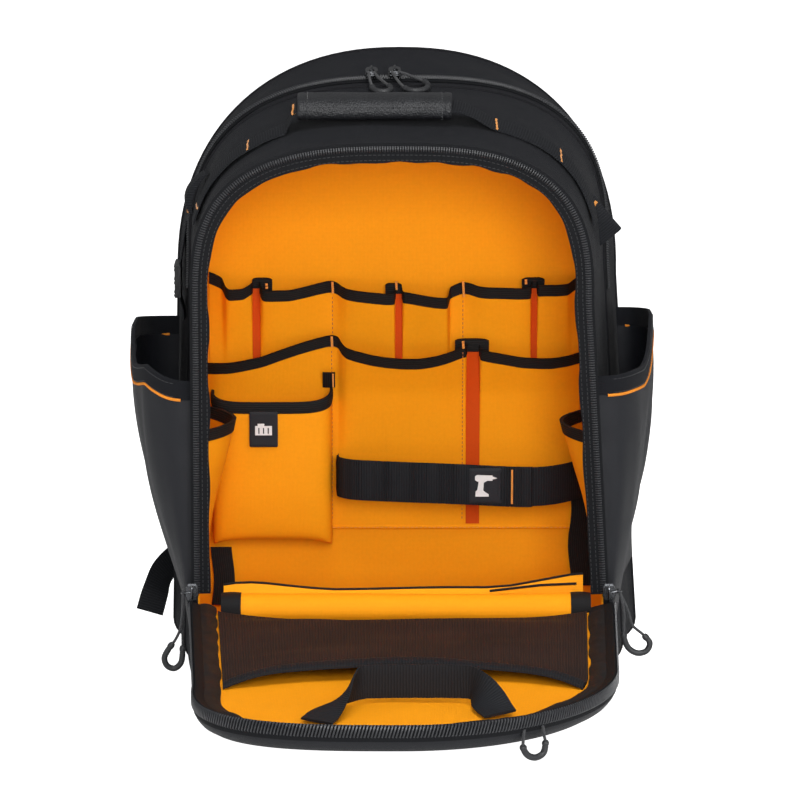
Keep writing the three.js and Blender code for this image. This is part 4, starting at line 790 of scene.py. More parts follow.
# Pocket rows
# Two rows of pockets in orange cloth are sewn to the divider, with box pleats between some of
# them. Each mouth is edged with a folded black tape, which crosses the pleats flat against the
# divider, and orange thread fixes the rows. A mouth is a table of x, height and stand-off.
HALF = HALF_WIDTH
BINDING = 9.0
UPPER_MOUTH = (
    (-147.9, 316.9, 0.5), (-143.7, 315.6, 2), (-137.7, 313.1, 5), (-134.7, 308.1, 15), (-131.9, 306.1, 17),
    (-121.1, 306.9, 17), (-116.5, 309.4, 14), (-114.7, 310.4, 12), (-114.2, 309.6, 1.5),
    (-108.6, 309.8, 1.5), (-107.9, 308.4, 13), (-105.7, 305.7, 17), (-98.7, 305.5, 18), (-85.6, 305.5, 18),
    (-75.6, 307.3, 15), (-64.9, 309.2, 9), (-56.5, 310.1, 4), (-52.5, 310.0, 1.5), (-48.7, 309.2, 5),
    (-44.8, 307.2, 11), (-40.9, 306.1, 15), (-33.9, 305.3, 17), (-21.6, 303.9, 18), (-10.8, 302.8, 18),
    (-4.1, 303.0, 17), (-3.6, 305.6, 1.5), (1.6, 305.6, 1.5), (2.1, 303.7, 13), (7.7, 303.5, 16),
    (15.4, 302.4, 18), (26.2, 300.8, 20), (36.6, 299.6, 20), (37.9, 302.7, 12), (38.9, 305.4, 4),
    (42.6, 307.2, 3), (48.8, 309.2, 1.5), (54.2, 308.8, 5), (60.3, 307.4, 10), (67.9, 307.1, 14),
    (81.0, 307.1, 16), (93.4, 307.1, 16), (101.2, 307.3, 15), (101.7, 309.8, 1.5), (106.1, 309.8, 1.5),
    (106.6, 308.6, 12), (111.9, 309.0, 14), (121.2, 309.0, 14), (129.7, 309.4, 12), (133.0, 311.1, 7),
    (138.5, 314.0, 1.5),
)
MIDDLE_MOUTH = (
    (-150.6, 246.1, 2), (-143.4, 247.4, 9), (-131.5, 248.9, 14), (-119.8, 251.5, 16), (-106.6, 254.4, 16),
    (-92.7, 259.3, 14), (-77.3, 264.0, 9), (-65.8, 266.8, 5), (-56.5, 268.9, 3), (-51.9, 269.2, 2),
    (-48.0, 268.3, 4), (-44.8, 263.8, 10), (-41.7, 261.4, 14), (-35.5, 259.6, 17), (-23.1, 256.6, 20),
    (-12.3, 255.0, 22), (1.5, 253.9, 23), (15.4, 253.9, 23), (29.3, 256.0, 21), (40.1, 259.0, 18),
    (47.9, 261.9, 16), (51.2, 262.5, 15), (51.6, 262.7, 2), (61.8, 261.5, 2), (62.2, 259.5, 13),
    (68.0, 258.3, 15), (81.9, 256.3, 17), (93.4, 254.4, 18), (108.1, 253.6, 18), (118.2, 253.4, 17),
    (129.9, 254.5, 13), (139.5, 255.9, 6),
)
FULL_POCKET = 18
UPPER_BOTTOM = 0.49 * HEIGHT
MIDDLE_BOTTOM = 0.2375 * HEIGHT


def row_columns(mouth):
    """Columns of a row, four to each stretch of its mouth, with corners softened a little."""
    table = np.array(mouth)
    at = np.linspace(0, len(table) - 1, 4 * (len(table) - 1) + 1)
    columns = np.column_stack([np.interp(at, np.arange(len(table)), part) for part in table.T])
    soft = columns.copy()
    soft[1:-1] = columns[:-2] * 0.25 + columns[1:-1] * 0.5 + columns[2:] * 0.25
    return soft


def upper_stand(columns, z):
    height = np.clip((z - UPPER_BOTTOM) / (columns[:, 1] - UPPER_BOTTOM), 0, 1)
    return GAP + columns[:, 2] * height ** 1.4


def middle_stand(columns, z):
    height = np.clip((z - MIDDLE_BOTTOM) / (columns[:, 1] - MIDDLE_BOTTOM), 0, 1)
    step = np.maximum((z / HEIGHT - 0.468) / (0.546 - 0.468), 0)
    return GAP + 8.2 * step + columns[:, 2] * height ** 2


pocket_cloth = woven_finish("pocket_cloth", ORANGE, 950.0, 0.16, 0.7, relief=0.00012, creases=0.0011,
                            crease_scale=22.0, patches=0.06)
# The strips in the box pleats are painted dark red: painted shade in the narrow grooves between the pockets.
painted_pleat_shade = woven_finish("painted_pleat_shade", (0.62, 0.07, 0.004), 950.0, 0.16, 0.7, relief=0.00012, patches=0.06)
binding_tape, binding_tree, binding_skin = start_finish("binding_tape", 0.72, Specular_IOR_Level=0.12)
binding_place = laid_on(binding_tree, "weave")
binding_rib = binding_tree.nodes.new("ShaderNodeTexWave")
binding_rib.bands_direction = "Y"
binding_rib.inputs["Scale"].default_value = 190.0
binding_rib.inputs["Distortion"].default_value = 0.4
binding_tree.links.new(binding_place, binding_rib.inputs["Vector"])
binding_tree.links.new(tint(binding_tree, binding_rib.outputs["Fac"], (0.0075, 0.007, 0.007, 1),
                            (0.017, 0.016, 0.016, 1)),
                       binding_skin.inputs["Base Color"])
raise_by(binding_tree, binding_skin, binding_rib.outputs["Fac"], 0.0002)

for row_name, mouth_line, stand, bottom, seed, seams, pleats in (
    ("upper", UPPER_MOUTH, upper_stand, UPPER_BOTTOM, 61,
     ((-103.0, 313.0, 306.0, 1), (-52.4, 311.4, 300.4, 4), (-3.0, 311.2, 302.4, 1), (48.8, 311.6, 297.5, 4),
      (97.0, 315.6, 309.4, 1)),
     ((-114.6, -99.0, 312.4, -114.0, -108.8), (-11.4, 1.4, 308.2, -3.3, 1.3),
      (94.4, 112.0, 312.6, 101.9, 106.0))),
    ("middle", MIDDLE_MOUTH, middle_stand, MIDDLE_BOTTOM, 62,
     ((-53.0, 269.6, 259.0, 5), (48.6, 269.0, 260.8, 3)), ((42.6, 69.0, 266.2, 51.8, 61.6),)),
):
    columns = row_columns(mouth_line)

    def row_grid(low, high, rows, lift, slack):
        levels = []
        for share in np.linspace(0, 1, rows):
            z = mix(low, high, share)
            points = np.column_stack([columns[:, 0], np.zeros(len(columns)), z])
            full = np.minimum(columns[:, 2] / FULL_POCKET, 1)
            crumple = slack * (ripple(points, 60, seed, stretch=(0.7, 1, 1.5)) - 0.2) * full
            y = WALL_FACE - np.maximum(stand(columns, z) + lift + crumple, GAP + max(lift, 0))
            levels.append(np.column_stack([columns[:, 0], y, z]))
        return np.array(levels)

    seam_line = columns[:, 1] - BINDING
    foot_line = np.full(len(columns), bottom)
    cloth = cloth_walls("pocket_row_" + row_name, row_grid(foot_line, seam_line + 3, 26, 1.5, 1.3),
                        row_grid(foot_line, seam_line + 3, 26, 0.1, 1.3), lay=(0, 2))
    fit(cloth, pocket_cloth, "orange_lining", "pockets_" + row_name)
    tape_outer = np.concatenate([
        row_grid(seam_line, columns[:, 1] - 0.5, 5, 2.3, 1.3),
        row_grid(columns[:, 1] - 0.1, columns[:, 1] + 0.1, 2, 1.5, 1.3),
    ])
    tape_inner = np.concatenate([
        row_grid(seam_line, columns[:, 1] - 0.5, 5, -0.6, 1.3),
        row_grid(columns[:, 1] - 0.1, columns[:, 1] + 0.1, 2, 0.2, 1.3),
    ])
    fit(cloth_walls("pocket_binding_" + row_name, tape_outer, tape_inner), binding_tape, "webbing",
        "binding_" + row_name)

    for number, (x, top, foot, proud) in enumerate(seams):
        near = np.argmin(abs(columns[:, 0] - x))

        def seam_at(z):
            return WALL_FACE - float(stand(columns[near:near + 1], np.array([z]))[0]) - 1.6

        tack_line = np.array([(x + (top - z) * 0.05, min(seam_at(z) - 1.2, WALL_FACE - 4.4 - proud), z)
                              for z in np.linspace(foot, top, 8)])
        stitches(f"mouth_tack_{row_name}_{number}", tack_line, (0, -1, 0), orange_thread, "orange_lining",
                 pitch=1.7, length=1.9, thickness=1.9)
        if proud > 2:
            seam_path = np.array([(x, seam_at(z), z) for z in np.linspace(bottom + 4, foot - 1, 14)])
            stitches(f"row_seam_{row_name}_{number}", seam_path, (0, -1, 0), deep_thread, "orange_lining",
                     pitch=3.4, length=2.0, thickness=0.7)
    for number, (left, right, top, low_x, high_x) in enumerate(pleats):
        lean = 9.2 if row_name == "middle" else 0.0
        across = np.linspace(0, 1, 17)
        droop = 1.6 * abs(2 * across - 1) ** 5
        stub = [np.column_stack([mix(left, right, across), np.full(17, WALL_FACE - 2.6 - lean - bow),
                                 top - droop * (level < 3) - level])
                for level, bow in ((0.0, 0.0), (0.8, 0.9), (3.0, 1.1), (6.0, 1.1), (9.4, 1.0), (10.4, 0.2))]
        fit(cloth_walls(f"pleat_binding_{row_name}_{number}", stub, [row + (0, 1.6, 0) for row in stub]),
            binding_tape, "webbing")
        # Each pleat gets a dark red strip on the floor of its groove, painted shade over the divider.
        z = np.linspace(bottom + 2, top - 8, 12)
        floor_of_pleat = stand(np.tile((low_x, top - 2, 2.4), (12, 1)), z)
        pleat = [np.column_stack([np.full(12, x), WALL_FACE - 2.6 - floor_of_pleat, z])
                 for x in np.linspace(low_x - 0.4, high_x + 0.4, 4)]
        fit(cloth_walls(f"pleat_{row_name}_{number}", pleat, [row + (0, 0.5, 0) for row in pleat],
                        lay=(0, 2)), painted_pleat_shade, "orange_lining")

# The lower seam of the middle row: a folded edge with a line of stitches along it.
fold_x = np.linspace(-0.77 * HALF, 0.80 * HALF, 90)
fold_front = [np.column_stack([fold_x, np.full_like(fold_x, WALL_FACE - 1.6 - bulge),
                               np.full_like(fold_x, z)])
              for z, bulge in ((MIDDLE_BOTTOM - 2.4, 0.0), (MIDDLE_BOTTOM - 2.0, 0.9),
                               (MIDDLE_BOTTOM - 0.4, 1.2), (MIDDLE_BOTTOM + 0.6, 0.4))]
fold_back = [row + (0, 1.2 if index in (0, 3) else 1.6, 0) for index, row in enumerate(fold_front)]
fit(cloth_walls("row_foot_fold", fold_front, fold_back, lay=(0, 2)), pocket_cloth, "orange_lining")
stitches("row_foot_stitch",
         np.column_stack([fold_x, np.full_like(fold_x, WALL_FACE - 2.9),
                          np.full_like(fold_x, MIDDLE_BOTTOM - 1.1)]),
         (0, -1, 0), orange_thread, "orange_lining", pitch=3.4, length=2.4, thickness=0.5)

# Battery pouch
# A box pouch with gusset corners stands off the middle row and takes a battery. Its mouth
# is bound like the rows, and a woven tag with a battery drawing hangs under the binding.
POUCH = dict(left=-0.785, right=-0.285, bottom=0.212, top=(0.468, 0.47), dip=0.009)
POUCH_DEPTH = 36.0
POUCH_ROWS = ((0, 0.5), (0.02, 0.72), (0.05, 0.8), (0.12, 0.86), (0.3, 0.92), (0.65, 1.0), (1, 0.97))


def pouch_level(depth, narrower, count=44):
    middle = (POUCH["left"] + POUCH["right"]) / 2 * HALF
    half = (POUCH["right"] - POUCH["left"]) / 2 * HALF - narrower
    angle = math.pi * (1 - np.linspace(0, 1, count + 1))
    across = np.sign(np.cos(angle)) * abs(np.cos(angle)) ** (2 / 5)
    out = abs(np.sin(angle)) ** (2 / 5)
    return np.column_stack([middle + half * across, WALL_FACE - mix(4.6, depth - narrower, out)])


def pouch_mouth(share):
    dip = POUCH["dip"] * np.sin(share * math.pi) ** 1.5
    return (mix(*POUCH["top"], share) - dip) * HEIGHT


def pouch_grid(narrower, heights, drop):
    shares = np.linspace(0, 1, 45)
    bottom = POUCH["bottom"] * HEIGHT + narrower
    rows = []
    for height in heights:
        depth = float(np.interp(height, *np.array(POUCH_ROWS).T)) * POUCH_DEPTH
        level = pouch_level(depth, narrower)
        z = mix(bottom + 6 * np.sin(shares * math.pi) ** 2, pouch_mouth(shares) - drop, height)
        points = np.column_stack([level, z])
        dents = 1.2 * (ripple(points, 55, 71)
                       - 0.5) * np.sin(shares * math.pi) ** 0.4 * math.sin(height * math.pi) ** 0.5
        points[:, 1] -= dents
        rows.append(points)
    return np.array(rows)


levels = np.concatenate([[0, 0.02, 0.05, 0.09], np.linspace(0.14, 1, 18)])
fit(cloth_walls("battery_pouch", pouch_grid(0, levels, BINDING - 2), pouch_grid(1.5, levels, BINDING - 2)),
    pocket_cloth,
    "orange_lining", "battery_pocket")


def pouch_tape(narrower):
    shares = np.linspace(0, 1, 45)
    rows = []
    for drop in (BINDING, 6.5, 3.5, 0.8, 0.0):
        level = pouch_level(0.97 * POUCH_DEPTH, narrower
                            + (0.5 if drop in (BINDING, 0.0) and narrower < 0 else 0))
        rows.append(np.column_stack([level, pouch_mouth(shares) - drop]))
    return np.array(rows)


fit(cloth_walls("battery_binding_tape", pouch_tape(-0.9), pouch_tape(1.5)), binding_tape, "webbing",
    "battery_binding")

# The gusset of the pouch is sewn to the row with a bound edge that stands up beside it.
corner_x = POUCH["right"] * HALF + 1.4
stub = [[(corner_x + dx, WALL_FACE - 5.2 - 9 * up - dy, 226 + 14 * up) for up in np.linspace(0, 1, 7)]
        for dx, dy in ((-8.5, 0), (-6.0, 1.2), (-1.0, 1.2), (1.2, 0))]
stub_back = [[(x, y + 1.8, z) for x, y, z in row] for row in stub]
fit(cloth_walls("pouch_corner_tape", stub, stub_back), binding_tape, "webbing")
stitches("pouch_corner_tack",
         np.array([(corner_x - 0.4, WALL_FACE - 6.6 - 9 * up, 226 + 14 * up) for up in np.linspace(0, 1, 6)]),
         (0, -1, 0), orange_thread, "orange_lining", pitch=1.8, length=1.7, thickness=1.3)


def rounded_plate(name, centre, size, thickness, corner, facing=(0, -1, 0), bulge=0.0):
    """A thin tag with round corners that faces a direction, its edge softened."""
    out = np.array(facing, float) / np.linalg.norm(facing)
    up = np.array((0, 0, 1.0)) - out * out[2]
    up /= np.linalg.norm(up)
    right = np.cross(out, up)
    outline = []
    for quarter in range(4):
        corner_at = np.array([(1, 1), (-1, 1), (-1, -1), (1, -1)][quarter]) * (np.array(size) / 2 - corner)
        for turn in np.linspace(0, math.pi / 2, 5):
            angle = turn + quarter * math.pi / 2
            outline.append(corner_at + corner * np.array([math.cos(angle), math.sin(angle)]))
    outline = np.array(outline)
    rings = []
    for shrink, depth in ((0.4, 0.0), (0.0, 0.2), (0.0, 0.75), (0.35, 1.0), (2.5, 1.0), (6.0, 1.0 + bulge)):
        scale = 1 - shrink / (np.array(size) / 2)
        flat = outline * scale
        rings.append(np.array(centre) + flat[:, :1] * right + flat[:, 1:] * up + out * thickness * depth)
    return rings_solid(name, rings, smooth_angle=35)


tag_cloth = woven_finish("tag_cloth", (0.022, 0.023, 0.027), 2600.0, 0.35, 0.42, place="upright",
                         relief=0.00005, patches=0.3)
print_white = speckled_finish("print_white", 0.6, (0.62, 0.62, 0.62), (0.85, 0.85, 0.84), 2600.0, 0.0, 0.0,
                              detail=1.0)


def print_shape(name, outline, centre, lift, facing=(0, -1, 0)):
    """A flat printed drawing from outline points in millimetres, standing off a hair."""
    out = np.array(facing, float) / np.linalg.norm(facing)
    up = np.array((0, 0, 1.0)) - out * out[2]
    up /= np.linalg.norm(up)
    right = np.cross(out, up)
    rings = [np.array(centre) + np.array(outline)[:, :1] * right + np.array(outline)[:, 1:] * up + out * depth
             for depth in (lift, lift + 0.12)]
    piece = rings_solid(name, rings)
    return fit(piece, print_white, "hard_plastic")


tag_middle = (-105.4, WALL_FACE - POUCH_DEPTH - 0.6, 200.0)
fit(rounded_plate("battery_tag", tag_middle, (22, 28), 1.0, 1.0), tag_cloth, "hard_plastic", "battery_label")
battery_outline = [(-6.5, -4.6), (6.5, -4.6), (6.5, 2.8), (4.6, 2.8), (4.6, 4.6), (-0.6, 4.6), (-0.6, 2.8),
                   (-6.5, 2.8)]
print_shape("battery_print", battery_outline, tag_middle, 1.05)
rail = bars("battery_print_rails",
            np.array([(-105.4 + dx, tag_middle[1] - 1.2, 199.0) for dx in (-3.6, 0, 3.6)]),
            np.tile((1.0, 0, 0), (3, 1)), np.tile((0, 0, 1.0), (3, 1)), np.tile((0, -1.0, 0), (3, 1)),
            (0.9, 4.6, 0.12), top=0.95)
fit(rail, tag_cloth, "hard_plastic")

# Drill belt
# A stiff belt of ribbed webbing stands off the divider in a wide loop. A second layer is
# folded over its front part and tacked with orange thread beside a printed tag.
BELT_LEVEL = 0.335 * HEIGHT
BELT_REACH = 40.0
BELT_PATH = ((-0.262, 0.045, -4), (-0.252, 0.55, -2), (-0.2, 0.86, -1), (0, 0.96, -2), (0.2, 1, -3),
             (0.56, 1, -5.5), (0.68, 0.74, -5.5),
             (0.78, 0.32, -4), (0.806, 0.045, -2))


def curve_through(points, count):
    """A smooth path through points, with each stretch timed by the root of its length."""
    points = np.asarray(points, float)
    points = np.vstack([2 * points[0] - points[1], points, 2 * points[-1] - points[-2]])
    beats = np.maximum(np.linalg.norm(np.diff(points, axis=0), axis=1) ** 0.5, 1e-6)
    pieces = []
    for place in range(1, len(points) - 2):
        before, here, there, after = points[place - 1:place + 3]
        a, b, c = beats[place - 1:place + 2]
        leave = ((here - before) / a - (there - before) / (a + b) + (there - here) / b) * b
        reach = ((there - here) / b - (after - here) / (b + c) + (after - there) / c) * b
        t = np.linspace(0, 1, 24, endpoint=place == len(points) - 3)[:, None]
        pieces.append(here + leave * t + (3 * (there - here) - 2 * leave - reach) * t ** 2
                      + (2 * (here - there) + leave + reach) * t ** 3)
    return even(np.vstack(pieces), count)


def belt_side(path, out, height, lift, edge=0.0):
    rows = []
    for share in np.linspace(-1, 1, 7):
        soft = edge * (abs(share) ** 6)
        rows.append(path + out * np.reshape(lift - soft, (-1, 1)) + (0, 0, share * height / 2))
    return np.array(rows)


belt_path = curve_through([(across * HALF, WALL_FACE - stand * BELT_REACH - 1, BELT_LEVEL + drop)
                           for across, stand, drop in BELT_PATH], 330)
belt_way = tangents(belt_path)
belt_out = np.cross(belt_way, (0, 0, 1.0))
belt_run = np.concatenate([[0], np.cumsum(np.linalg.norm(np.diff(belt_path, axis=0), axis=1))])

webbing_finish, webbing_tree, webbing_skin = start_finish("black_webbing", 0.7, Specular_IOR_Level=0.15)
webbing_place = laid_on(webbing_tree, "weave")
webbing_rib = webbing_tree.nodes.new("ShaderNodeTexWave")
webbing_rib.bands_direction = "X"
webbing_rib.inputs["Scale"].default_value = 150.0
webbing_rib.inputs["Distortion"].default_value = 1.2
webbing_rib.inputs["Detail Scale"].default_value = 3.0
webbing_tree.links.new(webbing_place, webbing_rib.inputs["Vector"])
webbing_fuzz = grain(webbing_tree, webbing_place, 900.0, 3.0)
webbing_height = calc(webbing_tree, "ADD", calc(webbing_tree, "MULTIPLY", webbing_rib.outputs["Fac"], 0.7),
                      calc(webbing_tree, "MULTIPLY", webbing_fuzz, 0.5))
webbing_tree.links.new(tint(webbing_tree, webbing_height, (0.0055, 0.006, 0.0075, 1),
                            (0.016, 0.017, 0.020, 1)), webbing_skin.inputs["Base Color"])
raise_by(webbing_tree, webbing_skin, webbing_height, 0.0003)

belt_base = cloth_walls("belt_base", belt_side(belt_path, belt_out, 31, 0.1, 0.3),
                        belt_side(belt_path, belt_out, 31, -1.0, -0.2))
fit(belt_base, webbing_finish, "webbing", "drill_belt")
front_part = (belt_run > 9) & (belt_path[:, 0] < 103)
ribbed = belt_path[front_part]
rib_run = belt_run[front_part]
fine_run = np.arange(rib_run[0], rib_run[-1], 0.5)
ribbed_path = np.column_stack([np.interp(fine_run, rib_run, ribbed[:, axis]) for axis in range(3)])
ribbed_out = np.column_stack([np.interp(fine_run, rib_run, belt_out[front_part][:, axis])
                              for axis in range(3)])
ribs = 0.55 * abs(np.sin(fine_run * math.pi / 2.1)) ** 0.7 + 0.9
ends = np.minimum(np.minimum(fine_run - fine_run[0], fine_run[-1] - fine_run) / 1.2, 1)
rib_lift = 0.25 + (ribs - 0.25) * ends
overlay = cloth_walls("belt_ribbed_layer", belt_side(ribbed_path, ribbed_out, 32, rib_lift, 0.5),
                      belt_side(ribbed_path, ribbed_out, 32, 0.15))
fit(overlay, webbing_finish, "webbing")
tack_at = int(np.argmin(abs(ribbed_path[:, 0] - 86.5)))
tack_line = ribbed_path[tack_at] + ribbed_out[tack_at] * 1.4 + np.outer(np.linspace(-14.5, 14.5, 10),
    (0, 0, 1))
stitches("belt_tack", tack_line, ribbed_out[tack_at], orange_thread, "orange_lining", pitch=1.5, length=1.7,
         thickness=1.6)

drill_middle = (66.0, WALL_FACE - BELT_REACH - 3.0, BELT_LEVEL - 4.2)
fit(rounded_plate("drill_tag", drill_middle, (25, 28), 1.0, 0.8), tag_cloth, "hard_plastic", "drill_label")
drill_outline = [(-9.2, 6.2), (-5.5, 7.6), (-5.5, 8.4), (6.6, 8.8), (8.0, 7.6), (8.0, 4.8), (6.4, 3.6),
                 (5.2, 3.4), (6.2, -3.2),
                 (7.6, -4.4), (7.6, -8.4), (-2.6, -8.4), (-2.6, -6.6), (0.4, -4.6), (1.6, -3.4), (1.2, 2.6),
                 (-1.6, 4.2), (-5.5, 4.2), (-5.5, 5.2)]
print_shape("drill_print", drill_outline, drill_middle, 1.05)

# Side wall pockets and corner tapes
# Each side wall of the compartment has a narrow orange pocket with a bound mouth. Black
# tape is sewn over the lower corners of the divider.
MAIN_DEPTH = 134.0
for side, hand, top, swell in (("left", -1, 0.452, 1.15), ("right", 1, 0.449, 1.1)):
    low, high = 0.192 * HEIGHT, top * HEIGHT

    def wall_grid(bottom, rim, rows, lift, slack=0.9):
        columns = []
        for share in 0.5 - 0.5 * np.cos(np.linspace(0, math.pi, 21)):
            y = FRONT + mix(0.13, 0.8, share) * MAIN_DEPTH
            z = np.linspace(bottom, rim, rows)
            height = (z - low) / (high - low)
            points = np.column_stack([np.zeros_like(z), np.full_like(z, y), z])
            dents = slack * (ripple(points, 50, 81 + hand) - 0.3) * math.sin(share * math.pi)
            swelling = swell * 24 * math.sin(share * math.pi) ** 0.8 * height
            stand = LINING_INNER + GAP + np.maximum(0, swelling + lift + dents * np.minimum(height * 3, 1))
            columns.append(np.column_stack([hand * (side_at(y, z, hand) - stand), points[:, 1], z]))
        return np.stack(columns, axis=1)

    fit(cloth_walls("wall_pocket_" + side, wall_grid(low, high - BINDING + 2, 22, 1.6),
                    wall_grid(low, high - BINDING + 2, 22, 0.1)),
        pocket_cloth, "orange_lining", "side_wall_pocket_" + side)
    fit(cloth_walls("wall_pocket_tape_" + side, wall_grid(high - BINDING, high, 5, 2.4),
                    wall_grid(high - BINDING, high, 5, -0.5)),
        binding_tape, "webbing", "side_wall_binding_" + side)
    corner = ((-147.5, -131.0, 50.0, 97.0) if hand < 0 else (133.0, 152.0, 66.0, 144.0))
    z = np.linspace(corner[2], corner[3], 16)
    tape_rows = np.array([np.column_stack([x + 1.2 * np.sin(z / 9.0), np.full_like(z, WALL_FACE - 4.0), z])
                          for x in np.linspace(corner[0], corner[1], 6)])
    fit(cloth_walls("corner_tape_" + side, tape_rows, tape_rows + (0, 1.4, 0)), binding_tape, "webbing")

# Flap
# The front panel of the bag is unzipped and folded down like a tray: a shallow padded pan of
# black cloth whose rim carries the other half of the coil zip.
FLAP_LENGTH = 361.0
FLAP_WIDTH = 317.0
FLAP_RIM = 88.0
FLAP_DEPTH = 23.0
FLAP_RISE = 12.0
LIP_RADIUS = 12.0
FLOOR_START = LIP_RADIUS + 3
FLOOR = FLAP_RIM - 3.5
FLAP_BACK = FRONT - 2 * GAP - 0.008 * FLAP_WIDTH / 2
FLAP_SHAPE = {-1: (0.99, 0.902, 0.693, 3.0), 1: (1.01, 0.965, 0.554, 2.05)}


def flap_half(hand, foot, side_steps=26, crown_steps=44):
    base, shoulder, rise, crown = FLAP_SHAPE[hand]
    return arch_half(base * FLAP_WIDTH / 2, shoulder * FLAP_WIDTH / 2, rise * FLAP_LENGTH, FLAP_LENGTH, crown,
                     foot, side_steps, crown_steps)


def flap_arch(foot):
    return join_halves(flap_half(-1, foot), flap_half(1, foot))


def flap_rise(reach):
    """The flap rises evenly from the start of its floor to its front end."""
    return FLAP_RISE * np.maximum(reach - FLOOR_START, 0) / (FLAP_LENGTH - FLOOR_START)


def flap_points(path, z):
    return np.column_stack([path[:, 0], FLAP_BACK - path[:, 1], z + flap_rise(path[:, 1])])


def pan_ring(distance, z, fold_height):
    end = FLAP_WIDTH * 0.42 - distance
    loop = np.vstack([flap_arch(0), (end, 0), (-end, 0)])
    ring = moved_in(loop, distance, closed=True)
    heights = np.full(len(ring), float(z))
    heights[-2:] = min(z, fold_height)
    heights += flap_rise(ring[:, 1])
    return np.column_stack([ring[:, 0], FLAP_BACK - ring[:, 1], heights])


satin_cloth = woven_finish("satin_black_cloth", (0.0095, 0.0102, 0.013), 1600.0, 0.3, 0.5, relief=0.0001,
                           creases=0.002,
                           crease_scale=16.0, shine=0.3)
profile = np.array([(0, 0), (0.10, -0.004), (0.36, -0.008), (0.52, -0.004), (0.66, 0.014), (0.80, 0.05),
                    (0.88, 0.1), (0.94, 0.15), (0.97, 0.2)])
drops = np.array([0, 0.05, 0.10, 0.2, 0.3, 0.4, 0.5, 0.58, 0.66, 0.74, 0.80, 0.85, 0.89, 0.93, 0.97])
pan_rows = [[], []]
for drop in drops:
    inset = float(np.interp(drop, profile[:, 0], profile[:, 1])) * FLAP_WIDTH / 2
    for skin, thick in ((0, 0.0), (1, SHELL_WALL)):
        pan_rows[skin].append(pan_ring(inset + thick, FLAP_RIM - GAP - drop * (FLAP_DEPTH - thick),
                                       SILL_HEIGHT - 2 * GAP - drop * 2))
for share in (0.66, 0.33, 0.04):
    for rows in pan_rows:
        centre = rows[14].mean(axis=0)
        ring = centre + (rows[14] - centre) * (share, share, 1)
        rows.append(ring - (0, 0, 0.25 * (1 - share)))
pan = cloth_walls("flap_pan", np.array(pan_rows[0]), np.array(pan_rows[1]), closed=True, smooth_angle=50)
fit(pan, satin_cloth, "black_cloth", "flap_shell")

# Zip of the flap
# The coil stands on the outer edge of the rim and faces outwards, so its teeth make a
# serrated line against the lining at the front.
flap_edge = even(flap_arch(7), 300)
flap_tape = [[], []]
for distance, z, back in ((5.0, 88.6, 0.8), (2.0, 89.6, 1.0), (-0.6, 90.4, 1.0), (-1.9, 89.2, 1.0),
                          (-2.2, 85.0, 0.9), (-2.4, 80.5, 0.9), (-1.9, 78.6, 0.5)):
    inward = moved_in(flap_edge, distance)
    flap_tape[0].append(flap_points(inward, z))
    flap_tape[1].append(flap_points(moved_in(flap_edge, distance + (back if z < 90 else back / 2)),
                                    z - (back if z > 88 else 0)))
fit(cloth_walls("flap_zip_tape", flap_tape[0], flap_tape[1]), zip_tape, "webbing", "flap_zip")
spots, way = walk(flap_points(moved_in(flap_edge, -2.3), 86.2), 2.4)
out = np.cross(way, (0, 0, 1.0))
centre_side = np.sign(((spots - np.array((0, FLAP_BACK - 180, 86.2))) * out).sum(axis=1, keepdims=True))
out = out * centre_side
slanted = np.array((0, 0, 1.0)) * 0.96 + way * 0.28
teeth = bars("flap_coil", spots, np.cross(out, slanted), slanted, out, (1.25, 9.6, 1.2), top=0.75)
fit(teeth, coil_nylon, "webbing")

# Facing and floor of the flap
# A wrinkled strip of black cloth lines the inside of the rim, and smooth orange cloth
# covers the floor.
facing_cloth = woven_finish("facing_cloth", (0.0115, 0.0105, 0.0105), 1500.0, 0.3, 0.62, relief=0.0001,
                            creases=0.003,
                            crease_scale=24.0, shine=0.2)
facing_edge = even(flap_arch(4.4), 300)
facing = [[], []]
wrinkle = ripple(flap_points(facing_edge, 0), 30, 91)
small_wrinkle = ripple(flap_points(facing_edge, 0), 13, 92)
for share in np.linspace(0, 1, 9):
    hump = math.sin(share * math.pi)
    row = moved_in(facing_edge, 5.3)
    inward = moved_in(facing_edge, 6.3) - row
    broad = 12 - 9 * np.clip((facing_edge[:, 1] / FLAP_LENGTH - 0.88) / 0.11, 0, 1)
    row = row + inward * (broad * share + wrinkle * 0.9 * share)[:, None]
    z = mix(FLAP_RIM, FLAP_RIM - 3.2, share) + hump * (1.3 + 0.9 * wrinkle + 0.4 * small_wrinkle)
    facing[0].append(flap_points(row, z))
    facing[1].append(flap_points(row, z - 1.4))
fit(cloth_walls("flap_facing_cloth", facing[0], facing[1]), facing_cloth, "black_cloth", "flap_facing")


def dip(reach, across):
    """The floor and the net sink to the foot of the lip."""
    near = np.clip(1 - (reach - FLOOR_START) / 52, 0, 1)
    return 10 * near * near * (3 - 2 * near) * (1 - np.minimum(abs(across), 1) ** 4)


floor_edge = moved_in(flap_arch(FLOOR_START), 12.0)
floor_outline = np.vstack([even(floor_edge, 200), even(np.array([floor_edge[-1], floor_edge[0]]), 60)[1:-1]])
floor_centre = np.array((0.0, 170.0))
floor_rows = [[], []]
for share in np.linspace(1, 0, 26):
    ring = floor_centre + (floor_outline - floor_centre) * share
    points = flap_points(ring, 0.0)
    soft = min((1 - share) * 9, 1) * (0.7 * ripple(points, 150, 93) + 0.25 * ripple(points, 60, 94))
    sunk = dip(ring[:, 1], ring[:, 0] / (FLAP_WIDTH * 0.44))
    floor_rows[0].append(flap_points(ring, FLOOR - 0.5 + soft - sunk))
    floor_rows[1].append(flap_points(ring, FLOOR - 1.6 + soft * 0.3 - sunk))
fit(cloth_walls("flap_floor_cloth", floor_rows[0], floor_rows[1], closed=True, lay=(0, 1)), orange_cloth,
    "orange_lining", "flap_lining")

